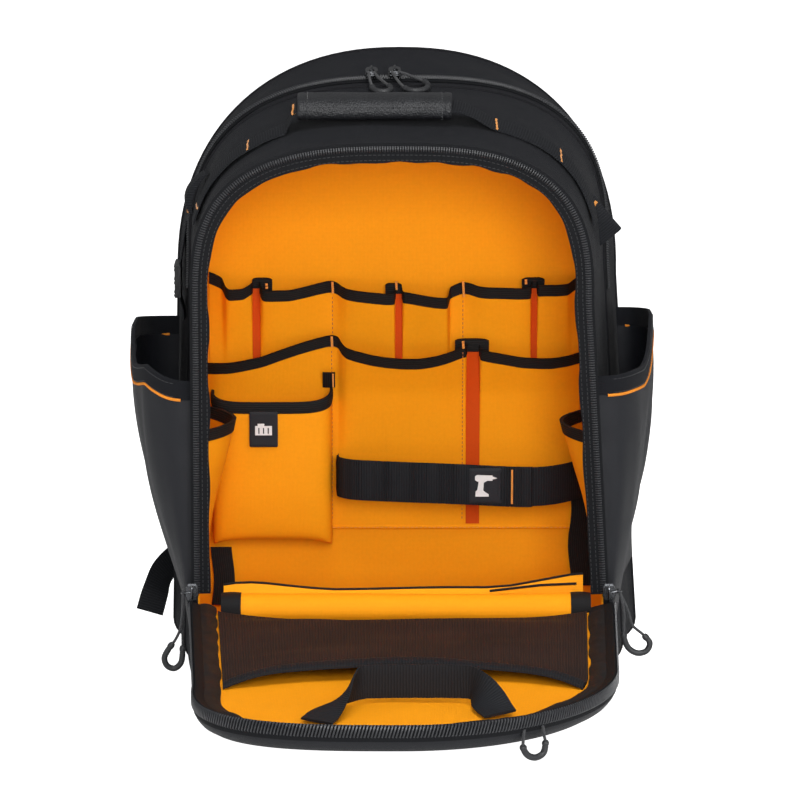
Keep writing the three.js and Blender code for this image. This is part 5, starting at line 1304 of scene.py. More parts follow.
# Net pocket
# A pocket of fine dark net lies over the floor of the flap. It is sewn under the facing and
# under the lip, and a broad elastic hem holds its mouth, which stands up a little.
def flap_half_width(hand, reach):
    half = flap_half(hand, 0)
    return np.interp(reach, half[:, 1], half[:, 0])


def net_rows(alongs, pasts, lift, sag=0.0):
    rows = []
    across = np.sin(np.linspace(-math.pi / 2, math.pi / 2, 65))
    for along, past in zip(alongs, pasts):
        mouth = (0.56 + 0.08 * abs(across) ** 2.2) * FLAP_LENGTH
        reach = mix(FLOOR_START + 1, mouth, along) + past
        half = np.where(across < 0, flap_half_width(-1, reach), flap_half_width(1, reach)) - 18.6
        rise = 10 * (1 - abs(across) ** 4) * mix(0.35, 1, along)
        points = np.column_stack([across * half, FLAP_BACK - reach, np.zeros(65)])
        slack = sag * (1.4 * ripple(points, 110, 95, stretch=(1, 0.5, 1)) - 0.3) * (1 - abs(across) ** 3)
        points[:, 2] = FLOOR + GAP + rise + lift + slack + flap_rise(reach) - dip(reach, across)
        rows.append(points)
    return np.array(rows)


net_cloth, net_tree, net_skin = start_finish("dark_net", 0.78, Specular_IOR_Level=0.1)
net_place = laid_on(net_tree, "weave")
columns_wave = net_tree.nodes.new("ShaderNodeTexWave")
columns_wave.bands_direction = "X"
columns_wave.inputs["Scale"].default_value = 150.0
columns_wave.inputs["Distortion"].default_value = 0.8
net_tree.links.new(net_place, columns_wave.inputs["Vector"])
holes = net_tree.nodes.new("ShaderNodeTexVoronoi")
holes.inputs["Scale"].default_value = 620.0
holes.inputs["Randomness"].default_value = 0.25
net_tree.links.new(net_place, holes.inputs["Vector"])
patchy = grain(net_tree, net_place, 14.0, 2.0)
open_holes = calc(net_tree, "LESS_THAN", holes.outputs["Distance"],
                  calc(net_tree, "MULTIPLY_ADD", patchy, 0.5, 0.02))
net_shade = calc(net_tree, "MULTIPLY_ADD", columns_wave.outputs["Fac"], 0.5,
                 calc(net_tree, "MULTIPLY", patchy, 0.5))
net_brown = tint(net_tree, net_shade, (0.014, 0.0095, 0.0085, 1), (0.040, 0.025, 0.021, 1))
net_tree.links.new(tint(net_tree, calc(net_tree, "MULTIPLY", open_holes, 0.5), net_brown,
                        (0.085, 0.030, 0.016, 1)), net_skin.inputs["Base Color"])
raise_by(net_tree, net_skin, columns_wave.outputs["Fac"], 0.0003)

net_alongs = np.linspace(0, 1, 34)
net = cloth_walls("net_pocket", net_rows(net_alongs, np.zeros(34), 0.9, 1.0),
                  net_rows(net_alongs, np.zeros(34), 0.0, 1.0))
fit(net, net_cloth, "net", "mesh_pocket")
hem_pasts = np.array([-1.0, 1.5, 5.0, 9.0, 12.0, 13.6, 14.0])
hem_puff = np.array([0.0, 1.5, 2.0, 2.0, 1.6, 0.9, 0.0])[:, None, None] * (0, 0, 1)
hem_top = net_rows(np.ones(7), hem_pasts, 1.0, 1.0) + hem_puff
hem_low = net_rows(np.ones(7), hem_pasts, -0.2, 1.0)
net_hem = fit(cloth_walls("net_hem", hem_top, hem_low), webbing_finish, "webbing", "mesh_hem")

# Webbing handle of the flap
# A length of webbing makes a grip inside the flap. Its ends are sewn flat to the floor and
# the middle stands on edge.
FLAP_STRAP = (
    (-0.36, 0.94, 1.5, 0), (-0.335, 0.915, 3, 0.04), (-0.28, 0.865, 8, 0.3), (-0.215, 0.815, 12.4, 0.75),
    (-0.165, 0.787, 14.5, 1), (-0.08, 0.778, 14.5, 1), (0.08, 0.776, 14.5, 1), (0.24, 0.778, 14.5, 1),
    (0.315, 0.788, 14.5, 1), (0.345, 0.81, 12.4, 0.75), (0.38, 0.84, 8.6, 0.3), (0.415, 0.872, 4, 0.06),
    (0.435, 0.892, 2, 0),
)


def woven_strip(name, stations, width, thickness, count=150, sides=9, soft=0.35):
    """A strip of webbing through stations of place and width direction, its edges rounded."""
    path = curve_through([at for at, across in stations], count)
    rough = np.array([at for at, across in stations], float)
    rough_run = np.concatenate([[0], np.cumsum(np.linalg.norm(np.diff(rough, axis=0), axis=1))])
    run = np.concatenate([[0], np.cumsum(np.linalg.norm(np.diff(path, axis=0), axis=1))])
    run = run * rough_run[-1] / run[-1]
    ways = np.array([across for at, across in stations], float)
    across = np.column_stack([np.interp(run, rough_run, ways[:, axis]) for axis in range(3)])
    along = tangents(path)
    across -= along * (across * along).sum(axis=1, keepdims=True)
    across /= np.linalg.norm(across, axis=1, keepdims=True)
    out = np.cross(along, across)
    grids = []
    for side in (1, -1):
        rows = []
        for share in np.linspace(-1, 1, sides):
            half = thickness / 2 - soft * abs(share) ** 8
            rows.append(path + across * share * width / 2 + out * side * half)
        grids.append(rows)
    return cloth_walls(name, grids[0], grids[1])


strap_stations = [
    ((x * FLAP_WIDTH / 2, FLAP_BACK - reach * FLAP_LENGTH, FLOOR + 1 + lift + flap_rise(reach * FLAP_LENGTH)),
     (math.cos(turn * math.pi / 2), 0, math.sin(turn * math.pi / 2)))
    for x, reach, lift, turn in FLAP_STRAP
]
fit(woven_strip("flap_webbing_handle", strap_stations, 24, 1.9, count=220), webbing_finish, "webbing",
    "flap_strap")

# Tool lip
# The sill ends in a padded orange roll that keeps the tools in. Black bands close its ends,
# and an orange sheet with a thin black edge rises behind it.
LIP_LEFT = -135.0
LIP_RIGHT = 144.0
LIP_BAND = 15.0
lip_height = SILL_HEIGHT + GAP + LIP_RADIUS - 1.5
lip_cloth = woven_finish("lip_cloth", ORANGE, 950.0, 0.14, 0.66, relief=0.0001, creases=0.001,
                         crease_scale=30.0, patches=0.05)
roll_rings = []
for x in np.linspace(LIP_LEFT, LIP_RIGHT, 110):
    turn = np.arange(36) / 36 * 2 * math.pi
    pinch = min((x - LIP_LEFT) / 5, (LIP_RIGHT - x) / 5, 1)
    ring = np.column_stack([np.full(36, x), np.cos(turn), np.sin(turn)])
    dent = 0.35 * ripple(ring * (1, 12, 12), 60, 101, stretch=(2.2, 1, 1))
    size = (LIP_RADIUS - 0.7 + dent) * (0.9 + 0.1 * max(pinch, 0) ** 0.5)
    roll_rings.append(np.column_stack([ring[:, 0], FRONT + ring[:, 1] * size,
                                       lip_height + ring[:, 2] * size]))
roll = fit(rings_solid("tool_lip_roll", roll_rings, smooth_angle=60), lip_cloth, "orange_lining", "tool_lip")
band_cloth = woven_finish("band_cloth", (0.0125, 0.012, 0.0125), 1500.0, 0.35, 0.6, relief=0.0001)
for side, low, high in (("left", LIP_LEFT - 0.4, LIP_LEFT + LIP_BAND - GAP),
                        ("right", LIP_RIGHT - LIP_BAND + GAP, LIP_RIGHT + 0.4)):
    rings = [[], []]
    for share in np.linspace(0, 1, 12):
        x = mix(low, high, share)
        turn = np.arange(36) / 36 * 2 * math.pi
        squared = 1 - 0.05 * np.cos(4 * turn)
        bulge = math.sin(share * math.pi) * 0.5
        for skin, radius in ((0, LIP_RADIUS + 0.3 + bulge), (1, LIP_RADIUS - 0.5)):
            wobble = 0.3 * ripple(np.column_stack([np.full(36, x), np.cos(turn) * 12, np.sin(turn) * 12]), 20,
                                  102)
            rings[skin].append(np.column_stack([np.full(36, x),
                                                FRONT + np.cos(turn) * (radius * squared + wobble),
                                                lip_height + np.sin(turn) * (radius * squared + wobble)]))
    fit(cloth_walls("lip_band_cloth_" + side, rings[0], rings[1], closed=True), band_cloth, "black_cloth",
        "lip_band_" + side)

sheet_x = np.linspace(-134, 139, 120)
sheet_top = np.interp(sheet_x, (-134, -125, -113, -101, -85, -68, -50, 15, 65, 84, 99, 115, 130, 139),
                      (97.4, 98.6, 99.0, 98.2, 96.4, 94.8, 93.8, 94.8, 95.2, 96.8, 99.6, 102.6, 105.4, 106.0))
sheet_front, sheet_back = [], []
for share in np.linspace(0, 1, 8):
    y = FRONT + 8.0 + 5.0 * share + 0.8 * np.sin(sheet_x / 21.0) * share
    row = np.column_stack([sheet_x, y, mix(lip_height + 6.5, sheet_top, share)])
    sheet_front.append(row)
    sheet_back.append(row + (0, 1.1, 0))
fit(cloth_walls("lip_sheet", sheet_front, sheet_back), lip_cloth, "orange_lining")
sheet_edge = sheet_front[-1] + (0, 0.5, 0.4)
fit(round_cord("lip_sheet_binding", even(sheet_edge, 120), 1.0, sides=8), band_cloth, "black_cloth")
second_line = np.column_stack([np.linspace(68, 134, 40), np.full(40, FRONT + 7.0),
                               np.interp(np.linspace(68, 134, 40), (68, 107, 134), (94.6, 99.2, 100.4))])
fit(round_cord("second_edge_binding", second_line, 1.0, sides=8), band_cloth, "black_cloth")

# Handle
# Webbing runs over the gusset from side to side under orange bar tacks and lifts through a
# padded grip that is wrapped in black grained leather and stitched along its edges.
SETBACK = FRONT + 57.0
WEBBING_WIDTH = 25.0
GRIP_LENGTH = 116.0
GRIP_LEFT = -0.414 * HALF
GRIP_RIGHT = GRIP_LEFT + GRIP_LENGTH
TACKS = (-0.47 * HALF, 0.4 * HALF)
GRIP_TILT = 0.166
grip_height = float(crown_at(SETBACK, GRIP_LEFT + GRIP_LENGTH / 2)) + 1.6 + 8.5


def top_webbing_row(edge, lift):
    depth = SETBACK + edge * WEBBING_WIDTH / 2
    path = even(above(moved_in(bag_arch(depth), -GAP - lift), 0.77 * HEIGHT), 420)
    x = path[:, 0]
    rise = np.clip(np.minimum((x - TACKS[0]) / (GRIP_LEFT - TACKS[0]),
                              (TACKS[1] - x) / (TACKS[1] - GRIP_RIGHT)), 0, 1)
    rise = rise * rise * (3 - 2 * rise)
    level = grip_height - 1 + lift + GRIP_TILT * (depth - SETBACK)
    high = mix(path[:, 1], level, rise)
    slack = (1 - rise) * np.clip(np.minimum(abs(x - TACKS[0]), abs(x - TACKS[1])) / 12, 0, 1)
    high = high + slack * 0.5 * (ripple(np.column_stack([x, np.full_like(x, depth), high]), 35, 111,
                                        stretch=(1, 3, 1)) + 0.3)
    return np.column_stack([x, np.full_like(x, depth), high])


webbing_edges = np.linspace(-1, 1, 9)
top_rows = np.array([top_webbing_row(edge, 2.0 - 0.4 * abs(edge) ** 8) for edge in webbing_edges])
low_rows = np.array([top_webbing_row(edge, 0.2 + 0.3 * abs(edge) ** 8) for edge in webbing_edges])
fit(cloth_walls("top_webbing_strip", top_rows, low_rows), webbing_finish, "webbing", "top_webbing")


def bar_tack(name, line, out, thickness=3.3, pitch=1.05):
    """Dense thread across the webbing: the bars lie square to the line."""
    spots, along = walk(line, pitch, 0.4)
    out = np.broadcast_to(np.asarray(out, float), along.shape)
    across = np.cross(along, out)
    across /= np.linalg.norm(across, axis=1, keepdims=True)
    return fit(bars(name, spots, across, along, np.cross(along, across), (thickness, 0.9, 0.7)),
               orange_thread, "orange_lining")


for number, x in enumerate((73.5, 122.0, -80.0, -115.5, -152.0)):
    line = []
    for row in top_rows:
        if x < -150:
            near = int(np.argmin(abs(row[:, 2] - 383.0) + (row[:, 0] > 0) * 999))
        else:
            near = int(np.argmin(abs(row[:, 0] - x)))
        line.append(row[near])
    line = np.array(line)
    centre_way = np.array((line[4, 0], 0, line[4, 2] - 300))
    bar_tack(f"webbing_tack_{number}", line, centre_way / np.linalg.norm(centre_way))

leather, leather_tree, leather_skin = start_finish("black_leather", 0.46, Specular_IOR_Level=0.35,
                                                   Coat_Weight=0.06, Coat_Roughness=0.35)
leather_place = laid_on(leather_tree, "flat")
leather_cells = leather_tree.nodes.new("ShaderNodeTexVoronoi")
leather_cells.inputs["Scale"].default_value = 750.0
leather_tree.links.new(leather_place, leather_cells.inputs["Vector"])
leather_mottle = grain(leather_tree, leather_place, 60.0, 4.0)
leather_tree.links.new(tint(leather_tree, leather_mottle, (0.0075, 0.008, 0.0095, 1),
                            (0.019, 0.020, 0.023, 1)), leather_skin.inputs["Base Color"])
leather_soft = raise_by(leather_tree, leather_skin, leather_mottle, 0.0015)
raise_by(leather_tree, leather_skin, leather_cells.outputs["Distance"], 0.0004, under=leather_soft)


def super_ring(half_width, half_height, power, count):
    angle = (np.arange(count) + 0.5) / count * 2 * math.pi
    c, s = np.cos(angle), np.sin(angle)
    return np.column_stack([half_width * np.sign(c) * abs(c) ** (2 / power),
                            half_height * np.sign(s) * abs(s) ** (2 / power)])


grip_skin, grip_slot = [], []
for x in np.concatenate([np.linspace(0, 8, 10), np.linspace(11, GRIP_LENGTH - 11, 70),
                         np.linspace(GRIP_LENGTH - 8, GRIP_LENGTH, 10)]):
    near_end = min(x, GRIP_LENGTH - x)
    size = 0.92 + 0.08 * min(near_end / 1.6, 1) ** 0.5 - 0.035 * math.exp(-((near_end - 6.0) / 1.1) ** 2)
    section = super_ring(15 * size, 8.5 * size, 2.5, 44)
    section[:, 1] += section[:, 0] * GRIP_TILT
    ring = np.column_stack([np.full(44, GRIP_LEFT + x), SETBACK + section[:, 0], grip_height + section[:, 1]])
    dents = 0.35 * ripple(ring, 38, 121, stretch=(1.5, 1, 1))
    ring[:, 1:] += section / np.linalg.norm(section, axis=1, keepdims=True) * dents[:, None]
    grip_skin.append(ring)
    slot = super_ring(13.4, 1.6, 12, 44)
    slot[:, 1] += slot[:, 0] * GRIP_TILT
    grip_slot.append(np.column_stack([np.full(44, GRIP_LEFT + x), SETBACK + slot[:, 0],
                                      grip_height + slot[:, 1]]))
grip = fit(cloth_walls("leather_grip", grip_skin, grip_slot, closed=True, smooth_angle=60), leather,
           "grip_leather", "handle_grip")
for edge_name, angle in (("front", 3.5), ("back", -0.36)):
    y = SETBACK + 15.05 * math.copysign(abs(math.cos(angle)) ** 0.8, math.cos(angle))
    z = grip_height - 8.55 * math.copysign(abs(math.sin(angle)) ** 0.8,
                                           math.sin(angle)) + GRIP_TILT * (y - SETBACK)
    seam = np.array([(x, y, z) for x in np.linspace(GRIP_LEFT + 9, GRIP_RIGHT - 9, 40)])
    stitches("grip_stitch_" + edge_name, seam, (0, y - SETBACK, z - grip_height), black_thread,
             "grip_leather", pitch=4.0, length=2.9, thickness=0.7)
for end_name, x in (("left", GRIP_LEFT + 7.4), ("right", GRIP_RIGHT - 7.4)):
    section = super_ring(14.6, 8.3, 2.5, 60)
    section[:, 1] += section[:, 0] * GRIP_TILT
    band = np.column_stack([np.full(60, x), SETBACK + section[:, 0], grip_height + section[:, 1]])
    spots, along = walk(np.vstack([band, band[:1]]), 3.2)
    out = spots - np.array((x, SETBACK, grip_height))
    out /= np.linalg.norm(out, axis=1, keepdims=True)
    fit(bars("grip_end_stitch_" + end_name, spots, along, np.cross(along, out), out, (2.3, 0.6, 0.7)),
        black_thread, "grip_leather")

# Webbing tabs and the side buckle
# A folded tab hangs on the right of the gusset and an open loop on the left, both tacked
# with orange thread. A ribbed plastic buckle sits on the left on a short length of webbing.
outer, inner = [], []
for edge in np.linspace(-1, 1, 7):
    depth = FRONT + 0.45 * DEPTH + edge * 10
    share = np.linspace(0, 1, 44)
    z = mix(0.835, 0.77, share) * HEIGHT
    fold = np.sin(share * math.pi) ** 0.7 * 8
    seat = side_at(depth, z, -1) + 2 * GAP
    outer.append(np.column_stack([-(seat + fold + 2.2 - 0.3 * abs(edge) ** 8), np.full_like(z, depth), z]))
    inner.append(np.column_stack([-(seat + fold * 0.45 + 0.3 * abs(edge) ** 8), np.full_like(z, depth), z]))
fit(cloth_walls("folded_loop_left", outer, inner), webbing_finish, "webbing", "webbing_loop_left")
bar_tack("tab_tack_left", np.array([row[40] for row in outer]), (-0.8, 0, 0.6), thickness=2.4)
tab_stations = [((x, y, z), (0.80, 0.0, 0.6))
                for x, y, z in ((139.0, -17, 378.0), (146.0, -19, 368.5), (153.5, -17, 359.0),
                                (160.5, -13, 350.5))]
fit(woven_strip("folded_tab_right", tab_stations, 23, 4.5, count=40, soft=1.2), webbing_finish, "webbing",
    "webbing_tab_right")
tab_tack = np.array([np.array((143.6, -22.6, 371.4)) + share * np.array((6.6, 0.0, 9.0))
                     for share in np.linspace(-1, 1, 9)])
bar_tack("tab_tack_right", tab_tack, (0, -1, 0), thickness=2.6)

buckle_plastic = speckled_finish("moulded_plastic", 0.36, (0.010, 0.0105, 0.012), (0.020, 0.021, 0.023),
                                 220.0,
                                 1600.0, 0.00012)


def slotted_plate(name, width, height, thickness, slots, origin, right, up, edge=0.8):
    """A moulded plate with slots for webbing, its edges rounded, from bars between slots."""
    right, up = np.array(right, float), np.array(up, float)
    up = up - right * (up @ right)
    up /= np.linalg.norm(up)
    out = np.cross(right, up)
    work = bmesh.new()

    def slab(u_low, u_high, v_low, v_high, low=0.0, high=None):
        high = thickness if high is None else high
        corners = [work.verts.new(np.array(origin) + right * u + up * v + out * w)
                   for w in (low, high)
                   for u, v in ((u_low, v_low), (u_high, v_low), (u_high, v_high), (u_low, v_high))]
        for face in ((3, 2, 1, 0), (4, 5, 6, 7), (0, 1, 5, 4), (1, 2, 6, 5), (2, 3, 7, 6), (3, 0, 4, 7)):
            work.faces.new([corners[place] for place in face])

    border = 3.5
    slab(-width / 2, -width / 2 + border, -height / 2, height / 2)
    slab(width / 2 - border, width / 2, -height / 2, height / 2)
    marks = [-height / 2] + [value for slot in slots for value in slot] + [height / 2]
    for low, high in zip(marks[0::2], marks[1::2]):
        slab(-width / 2 + border, width / 2 - border, low, high)
        count = max(int((high - low) / 2.2), 1)
        for step in range(count):
            middle = mix(low, high, (step + 0.5) / count)
            slab(-width / 2 + 1.5, width / 2 - 1.5, middle - 0.55, middle + 0.55, thickness, thickness + 0.6)
    mesh = bpy.data.meshes.new(name)
    work.to_mesh(mesh)
    work.free()
    piece = settle(mesh, name, 50)
    soften = piece.modifiers.new("soft_edges", "BEVEL")
    soften.width = edge * 0.001 * 0.5
    soften.segments = 2
    soften.limit_method = "ANGLE"
    return piece


buckle_y = FRONT + 0.77 * DEPTH
buckle_low = 0.632 * HEIGHT - 13
buckle_x = -(max(float(side_at(buckle_y + 13.5, buckle_low, -1)),
                 float(side_at(buckle_y + 13.5, buckle_low + 26, -1))) + GAP)
fit(slotted_plate("ribbed_buckle", 27, 26, 5, ((-7.2, -3.2), (3.2, 7.2)),
                  (buckle_x, buckle_y, 0.632 * HEIGHT), (0, -1, 0), (0, 0, 1)),
    buckle_plastic, "hard_plastic", "side_buckle_left")
for strap_name, heights, seat in (("upper", (307.5, 311, 322, 336, 348), (4.2, 5.0, 3.4, 1.6, 0.6)),
                                  ("lower", (299.5, 295, 288, 280, 272), (4.4, 5.2, 3.6, 1.4, 0.6))):
    stations = [((-(float(side_at(buckle_y, z, -1)) + stand), buckle_y, z), (0, 1, 0))
                for z, stand in zip(heights, seat)]
    fit(woven_strip("buckle_webbing_" + strap_name, stations, 20, 1.5, count=40), webbing_finish, "webbing")

# Back panel
# The back is a padded panel of the same cloth. Seams divide its foam into channels that
# keep the back aired.
LOOP_BACK = bag_loop(REAR_END)
back_rings = []
for depth, inset in ((0, 0), (0.08, 0.001), (0.4, 0.012), (0.65, 0.024), (0.85, 0.05), (0.97, 0.085),
                     (1.0, 0.12)):
    y = mix(REAR_END + GAP, BACK - 0.6, depth)
    back_rings.append(at_depth(moved_in(LOOP_BACK, inset * HALF_WIDTH, closed=True), y))
centre = back_rings[-1].mean(axis=0)


def channel(x, z):
    """Depth of the seams and channels pressed into the foam."""
    middle = np.exp(-((x / 13) ** 2)) * 5.0
    seams = sum(np.exp(-(((z - level - 0.05 * abs(x)) / 2.6) ** 2))
                for level in (120, 195, 270, 345)) * 2.2 * np.clip(abs(x) / 20 - 0.6, 0, 1)
    return middle + seams


last = back_rings[-1]
for share in np.linspace(0.96, 0.02, 46):
    ring = centre + (last - centre) * (share, 1, share)
    ring[:, 1] -= channel(ring[:, 0], ring[:, 2]) * min((1 - share) * 12, 1) - 0.6 * min((1 - share) * 12, 1)
    back_rings.append(ring)
back_pad = fit(rings_solid("back_pad", back_rings, lay=(0, 2), smooth_angle=60), black_pad_cloth,
               "black_cloth", "back_panel")

# Shoulder straps
# Two foam straps in the bag's cloth are sewn on near the top and taper to a plastic lock at
# the bottom. Webbing edges them and a line of stitches runs inside the edge.
STRAP = (
    (0.9, 0.25, 0.0, 0.94, 0.6), (0.88, 0.27, 0.75, 1, 0.85), (0.83, 0.3, 1.8333, 1, 1),
    (0.74, 0.34, 2.5, 1, 1), (0.6, 0.39, 2.75, 1, 1), (0.45, 0.45, 2.4167, 0.97, 1),
    (0.33, 0.51, 1.6667, 0.9, 1), (0.26, 0.56, 1.0833, 0.72, 0.8), (0.245, 0.575, 1.0, 0.5, 0.6),
)
strap_table = np.array(STRAP)
strap_way = np.array([0, 0.06, 0.16, 0.3, 0.48, 0.68, 0.83, 0.94, 1.0])
for side, hand in (("left", -1), ("right", 1)):
    rings, edges = [], {-1: [], 1: []}
    for share in np.linspace(0, 1, 110):
        height, spread, stand, width, thick = [float(np.interp(share, strap_way, strap_table[:, column]))
                                               for column in range(5)]
        ahead = [float(np.interp(min(share + 0.01, 1), strap_way, strap_table[:, column]))
                 for column in (0, 2)]
        back = [float(np.interp(max(share - 0.01, 0), strap_way, strap_table[:, column]))
                for column in (0, 2)]
        rise = ((ahead[1] - back[1]) * 12, (ahead[0] - back[0]) * HEIGHT)
        length = math.hypot(*rise)
        lean = abs(rise[1]) / length
        section = super_ring(width * 32, thick * 6, 3.2, 52)
        trim = 1 - 0.30 * np.exp(-(((abs(section[:, 0]) - width * 32 + 5.5) / 1.8) ** 2))
        half = section[:, 1] * trim
        y = BACK + stand * 12 + GAP + thick * 6 * lean
        ring = np.column_stack([hand * spread * HALF_WIDTH + section[:, 0], y + half * lean,
                                height * HEIGHT + half * rise[0] / length])
        ring[:, 1] += 0.5 * ripple(ring, 60, 131, stretch=(1, 1, 1.3))
        rings.append(ring)
        for edge in (-1, 1):
            edges[edge].append((hand * spread * HALF_WIDTH + edge * (width * 32 - 5.5), y + thick * 6 * 0.74,
                                height * HEIGHT))
    strap = fit(rings_solid("foam_strap_" + side, rings, smooth_angle=60), black_pad_cloth, "black_cloth",
                "shoulder_strap_" + side)
    for edge in (-1, 1):
        stitches(f"strap_stitch_{side}_{'inner' if edge * hand < 0 else 'outer'}",
                 even(np.array(edges[edge]), 120)[4:-6], (0, 1, 0), black_thread,
                 "black_cloth", pitch=4.0, length=3.0, thickness=0.6)
    lock_top = 0.245 * HEIGHT - 2 * GAP
    lock_at = (hand * 0.575 * HALF_WIDTH, BACK + 12 + 5 + GAP, lock_top - 10)
    fit(slotted_plate("lock_" + side, 34, 20, 5, ((-6.4, -2.4), (2.4, 6.4)), lock_at, (1, 0, 0), (0, 0, 1)),
        buckle_plastic,
        "hard_plastic", "ladder_lock_" + side)

# Lower webbing
# Webbing from the lower corners of the back passes the locks and ends in a free tail. The
# left tail swings round the side of the bag and its end is folded and sewn.
LEGS = ((0.82, 0.1333, 0.075, 0.5), (0.74, 0.4167, 0.115, 0.5), (0.62, 0.7917, 0.155, 0.2),
        (0.585, 1.0417, 0.186, 0), (0.585, 1.25, 0.194, 0), (0.586, 1.4583, 0.186, 0))
TAILS = {
    "left": ((0.59, 1.625, 0.165, 0), (0.63, 1.8333, 0.146, 0.5), (0.8, 2.0, 0.136, 1.2),
             (0.94, 1.5833, 0.13, 1.3), (1.03, 0.3333, 0.106, 1.1),
             (1.06, -0.6667, 0.078, 0.8), (1.085, -1.1667, 0.045, 0.5)),
    "right": ((0.6, 1.6667, 0.165, 0), (0.605, 2.0, 0.13, 0), (0.6, 1.9167, 0.09, 0)),
}
for side, hand in (("left", -1), ("right", 1)):
    stations = [((hand * across * HALF_WIDTH, BACK + stand * 12, height * HEIGHT),
                 (math.cos(lean), 0, hand * math.sin(lean)))
                for across, stand, height, lean in LEGS + TAILS[side]]
    fit(woven_strip("lower_webbing_strip_" + side, stations, 22, 1.5, count=200), webbing_finish, "webbing",
        "lower_webbing_" + side)

# Sliders
# Each zip ends in a die-cast slider, plated dark: two plates on a wedge, with a bridge over
# the top that holds the cord of the pull.
slider_metal = speckled_finish("plated_metal", 0.24, (0.05, 0.052, 0.056), (0.15, 0.155, 0.165), 260.0,
                               900.0, 0.00015, Metallic=0.95)
PLATE = ((-3.0, 6.0), (3.0, 6.0), (4.6, 3.3), (5.0, -2.0), (3.6, -6.0), (-3.6, -6.0), (-5.0, -2.0),
         (-4.6, 3.3))


def slider(name, origin, right, up, thickness, cords, node):
    right, up, origin = (np.array(value, float) for value in (right, up, origin))
    right /= np.linalg.norm(right)
    up = up - right * (up @ right)
    up /= np.linalg.norm(up)
    out = np.cross(right, up)
    outline = np.array(PLATE)

    def place(points, depth):
        return origin + points[:, :1] * right + points[:, 1:] * up + out * depth

    def plate(low, high, size=1.0):
        edge = 0.35
        return [place(outline * size * shrink, depth)
                for shrink, depth in ((0.93, low), (1.0, low + edge), (1.0, high - edge), (0.93, high))]

    parts = [rings_solid(name + "_part", plate(0.1, 1.6), smooth_angle=30),
             rings_solid(name + "_part", plate(1.6, 2.9, 0.55), smooth_angle=30),
             rings_solid(name + "_part", plate(2.9, thickness - 0.8), smooth_angle=30)]
    bridge = [origin + up * v + out * w
              for v, w in ((5.0, thickness - 1.4), (4.6, thickness - 0.2), (2.4, thickness + 0.5),
                           (-1.6, thickness + 0.5), (-4.0, thickness - 0.3), (-4.4, thickness - 1.4))]
    parts.append(round_cord(name + "_part", curve_through(bridge, 26), 0.95, sides=10))
    if cords is not None:
        ends = np.array(cords, float)
        middle = ends.mean(axis=0)
        anchor = origin + out * (thickness - 0.6)
        reach = middle - anchor
        side = (ends[0] - ends[1]) / np.linalg.norm(ends[0] - ends[1])
        ring = [anchor + reach * a + side * b
                for a, b in ((0.15, -1.4), (0.6, -2.7), (1.0, -2.9), (1.16, -1.4), (1.2, 0), (1.16, 1.4),
                             (1.0, 2.9), (0.6, 2.7), (0.15, 1.4))]
        parts.append(round_cord(name + "_part", curve_through(ring, 40), 0.7, sides=8))
    work = bmesh.new()
    for part in parts:
        work.from_mesh(part.data)
        bpy.data.objects.remove(part)
    mesh = bpy.data.meshes.new(name)
    work.to_mesh(mesh)
    work.free()
    mesh.shade_smooth()
    mesh.set_sharp_from_angle(angle=math.radians(35))
    piece = bpy.data.objects.new(name, mesh)
    scene.collection.objects.link(piece)
    return fit(piece, slider_metal, "slider_metal", node)


# Pull cords
# Each pull is a loop of thin braided cord through a slider, with a moulded rubber sleeve
# round its bend. One more loop hangs from a pocket zip under the flap.
PULLS = {
    "front_left": (0.33, 0.68, (
        (-163.7, -118.9, 100), (-164.2, -119.4, 90), (-164.8, -119.8, 79), (-166.4, -120, 69),
        (-170, -120.3, 61), (-175.4, -120.6, 53.4), (-178.6, -120.6, 46.4), (-176.4, -120.5, 40.2),
        (-171, -120.2, 38.2), (-166.2, -119.8, 42.4), (-164.8, -119.2, 51), (-164.6, -117.6, 65),
        (-163.8, -116.6, 78), (-163.4, -116.2, 90), (-163.7, -115.9, 99))),
    "front_right": (0.3, 0.66, (
        (164.8, -118.9, 101), (167.6, -119.3, 92), (169.4, -119.5, 81), (169.4, -119.7, 70),
        (170, -120, 61), (173.4, -120.3, 54), (180, -120.6, 50.4), (186.8, -120.4, 52.2),
        (189.2, -119.9, 58.2), (184, -119, 64.6), (176, -117.6, 71.5), (173, -116.8, 81),
        (168.6, -116.4, 91.6), (164.8, -116.1, 99.6))),
    "rear_left": (0.3, 0.7, (
        (-24, 31.5, 471), (-23.4, 24, 467.6), (-21.8, 12, 464), (-20.2, 3, 462.2), (-16.4, -2, 461.4),
        (-10.6, -2.4, 461.4),
        (-7, 3, 462.4), (-10, 13, 464.4), (-16, 23.4, 467.6), (-20.2, 31.5, 471))),
    "rear_right": (0.32, 0.74, (
        (-6, 31, 471.4), (-3.4, 24, 467.8), (1, 12, 464.4), (5, 3, 462.4), (11, -1, 461.6),
        (17.6, 1.4, 462), (21.4, 9, 463.4),
        (19, 18, 465.4), (10, 25, 468.4), (-1.4, 31, 471.6))),
    "flap": (0.22, 0.8, (
        (85, -450.8, 92), (84.4, -451, 85.1), (84.6, -450, 78.1), (88, -447.6, 72.3), (93.4, -444.4, 70),
        (98.4, -442, 72.3),
        (99.9, -441.8, 79.3), (99, -442.4, 85.1), (98, -442.6, 92))),
}
cord_braid, cord_tree, cord_skin = start_finish("braided_cord", 0.6, Sheen_Weight=0.15)
cord_place = laid_on(cord_tree, "flat")
braid = cord_tree.nodes.new("ShaderNodeTexVoronoi")
braid.inputs["Scale"].default_value = 1100.0
cord_tree.links.new(cord_place, braid.inputs["Vector"])
cord_tree.links.new(tint(cord_tree, braid.outputs["Distance"], (0.045, 0.046, 0.05, 1),
                         (0.010, 0.010, 0.012, 1)), cord_skin.inputs["Base Color"])
raise_by(cord_tree, cord_skin, braid.outputs["Distance"], 0.0004)
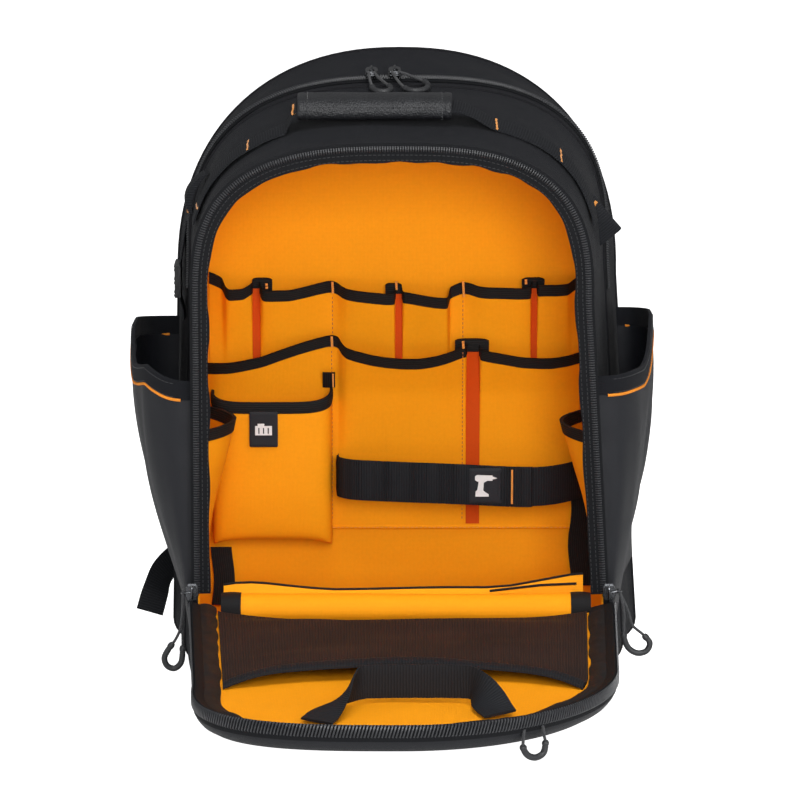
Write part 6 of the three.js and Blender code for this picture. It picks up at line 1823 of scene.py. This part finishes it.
grip_rubber = speckled_finish("grip_rubber", 0.46, (0.012, 0.0125, 0.014), (0.026, 0.027, 0.030), 180.0,
                              1500.0, 0.00015)

cord_routes = {}
for name, (start, end, points) in PULLS.items():
    route = curve_through(points, 90)
    cord_routes[name] = route
    length = float(np.linalg.norm(np.diff(route, axis=0), axis=1).sum()) * 0.001
    line = bpy.data.curves.new("cord_" + name, "CURVE")
    line.dimensions = "3D"
    line.bevel_depth = 0.0011
    line.bevel_resolution = 3
    line.use_fill_caps = True
    spline = line.splines.new("POLY")
    spline.points.add(len(route) - 1)
    spline.points.foreach_set("co", np.column_stack([route * 0.001, np.ones(len(route))]).ravel())
    cord = bpy.data.objects.new("cord_" + name, line)
    scene.collection.objects.link(cord)
    fit(cord, cord_braid, "pull_rubber", "pull_cord_" + name)
    sleeve_path = even(route[int(start * 89):int(end * 89) + 1], 64)
    outer, inner = [], []
    way = tangents(sleeve_path)
    for place, (point, along) in enumerate(zip(sleeve_path, way)):
        across = np.cross((0.12, 1.0, 0.3), along)
        across /= np.linalg.norm(across)
        up = np.cross(along, across)
        near_end = min(place, 63 - place)
        radius = 2.3 - 0.35 * max(1 - near_end / 2, 0)
        radius += 0.22 if 1 < near_end < 6 else 0
        radius -= 0.12 if 6 <= near_end <= 8 else 0
        turn = (np.arange(16) + 0.5) / 16 * 2 * math.pi
        circle = np.cos(turn)[:, None] * across + np.sin(turn)[:, None] * up
        outer.append(point + radius * circle)
        inner.append(point + 1.25 * circle)
    sleeve = fit(cloth_walls("pull_sleeve_" + name, outer, inner, closed=True, smooth_angle=50), grip_rubber,
                 "pull_rubber", "pull_grip_" + name)

FOOT = FLAP_RIM + 3 + GAP
for side, hand in (("left", -1), ("right", 1)):
    x = hand * (float(side_at(FRONT, FOOT, hand)) + 0.5)
    route = cord_routes["front_" + side]
    slider("slider_body_front_" + side, (x, FRONT - 3.6, FOOT + 6), (1, 0, 0), (0, 0, 1), 6.0,
           (route[2], route[-3]), "slider_front_" + side)
for side, share in (("left", -0.118), ("right", -0.022)):
    x = share * HALF_WIDTH
    heights = [float(crown_at(ZIP_SEAT + edge * 6, x)) for edge in (-1, 1)]
    seat = sum(heights) / 2 + 3 + 3 * GAP
    route = cord_routes["rear_" + side]
    slider("slider_body_rear_" + side, (x, ZIP_SEAT, seat), (1, 0, 0), (0, 12, heights[1] - heights[0]), 5.0,
           (route[2], route[-3]), "slider_rear_" + side)

new_low = np.full(3, 1e9)
new_high = np.full(3, -1e9)
bpy.context.view_layer.update()
for thing in scene.objects:
    if thing.type in {"MESH", "CURVE"} and thing is not floor and not thing.hide_render:
        corners = np.array([thing.matrix_world @ type(thing.location)(corner) for corner in thing.bound_box])
        new_low = np.minimum(new_low, corners.min(axis=0))
        new_high = np.maximum(new_high, corners.max(axis=0))
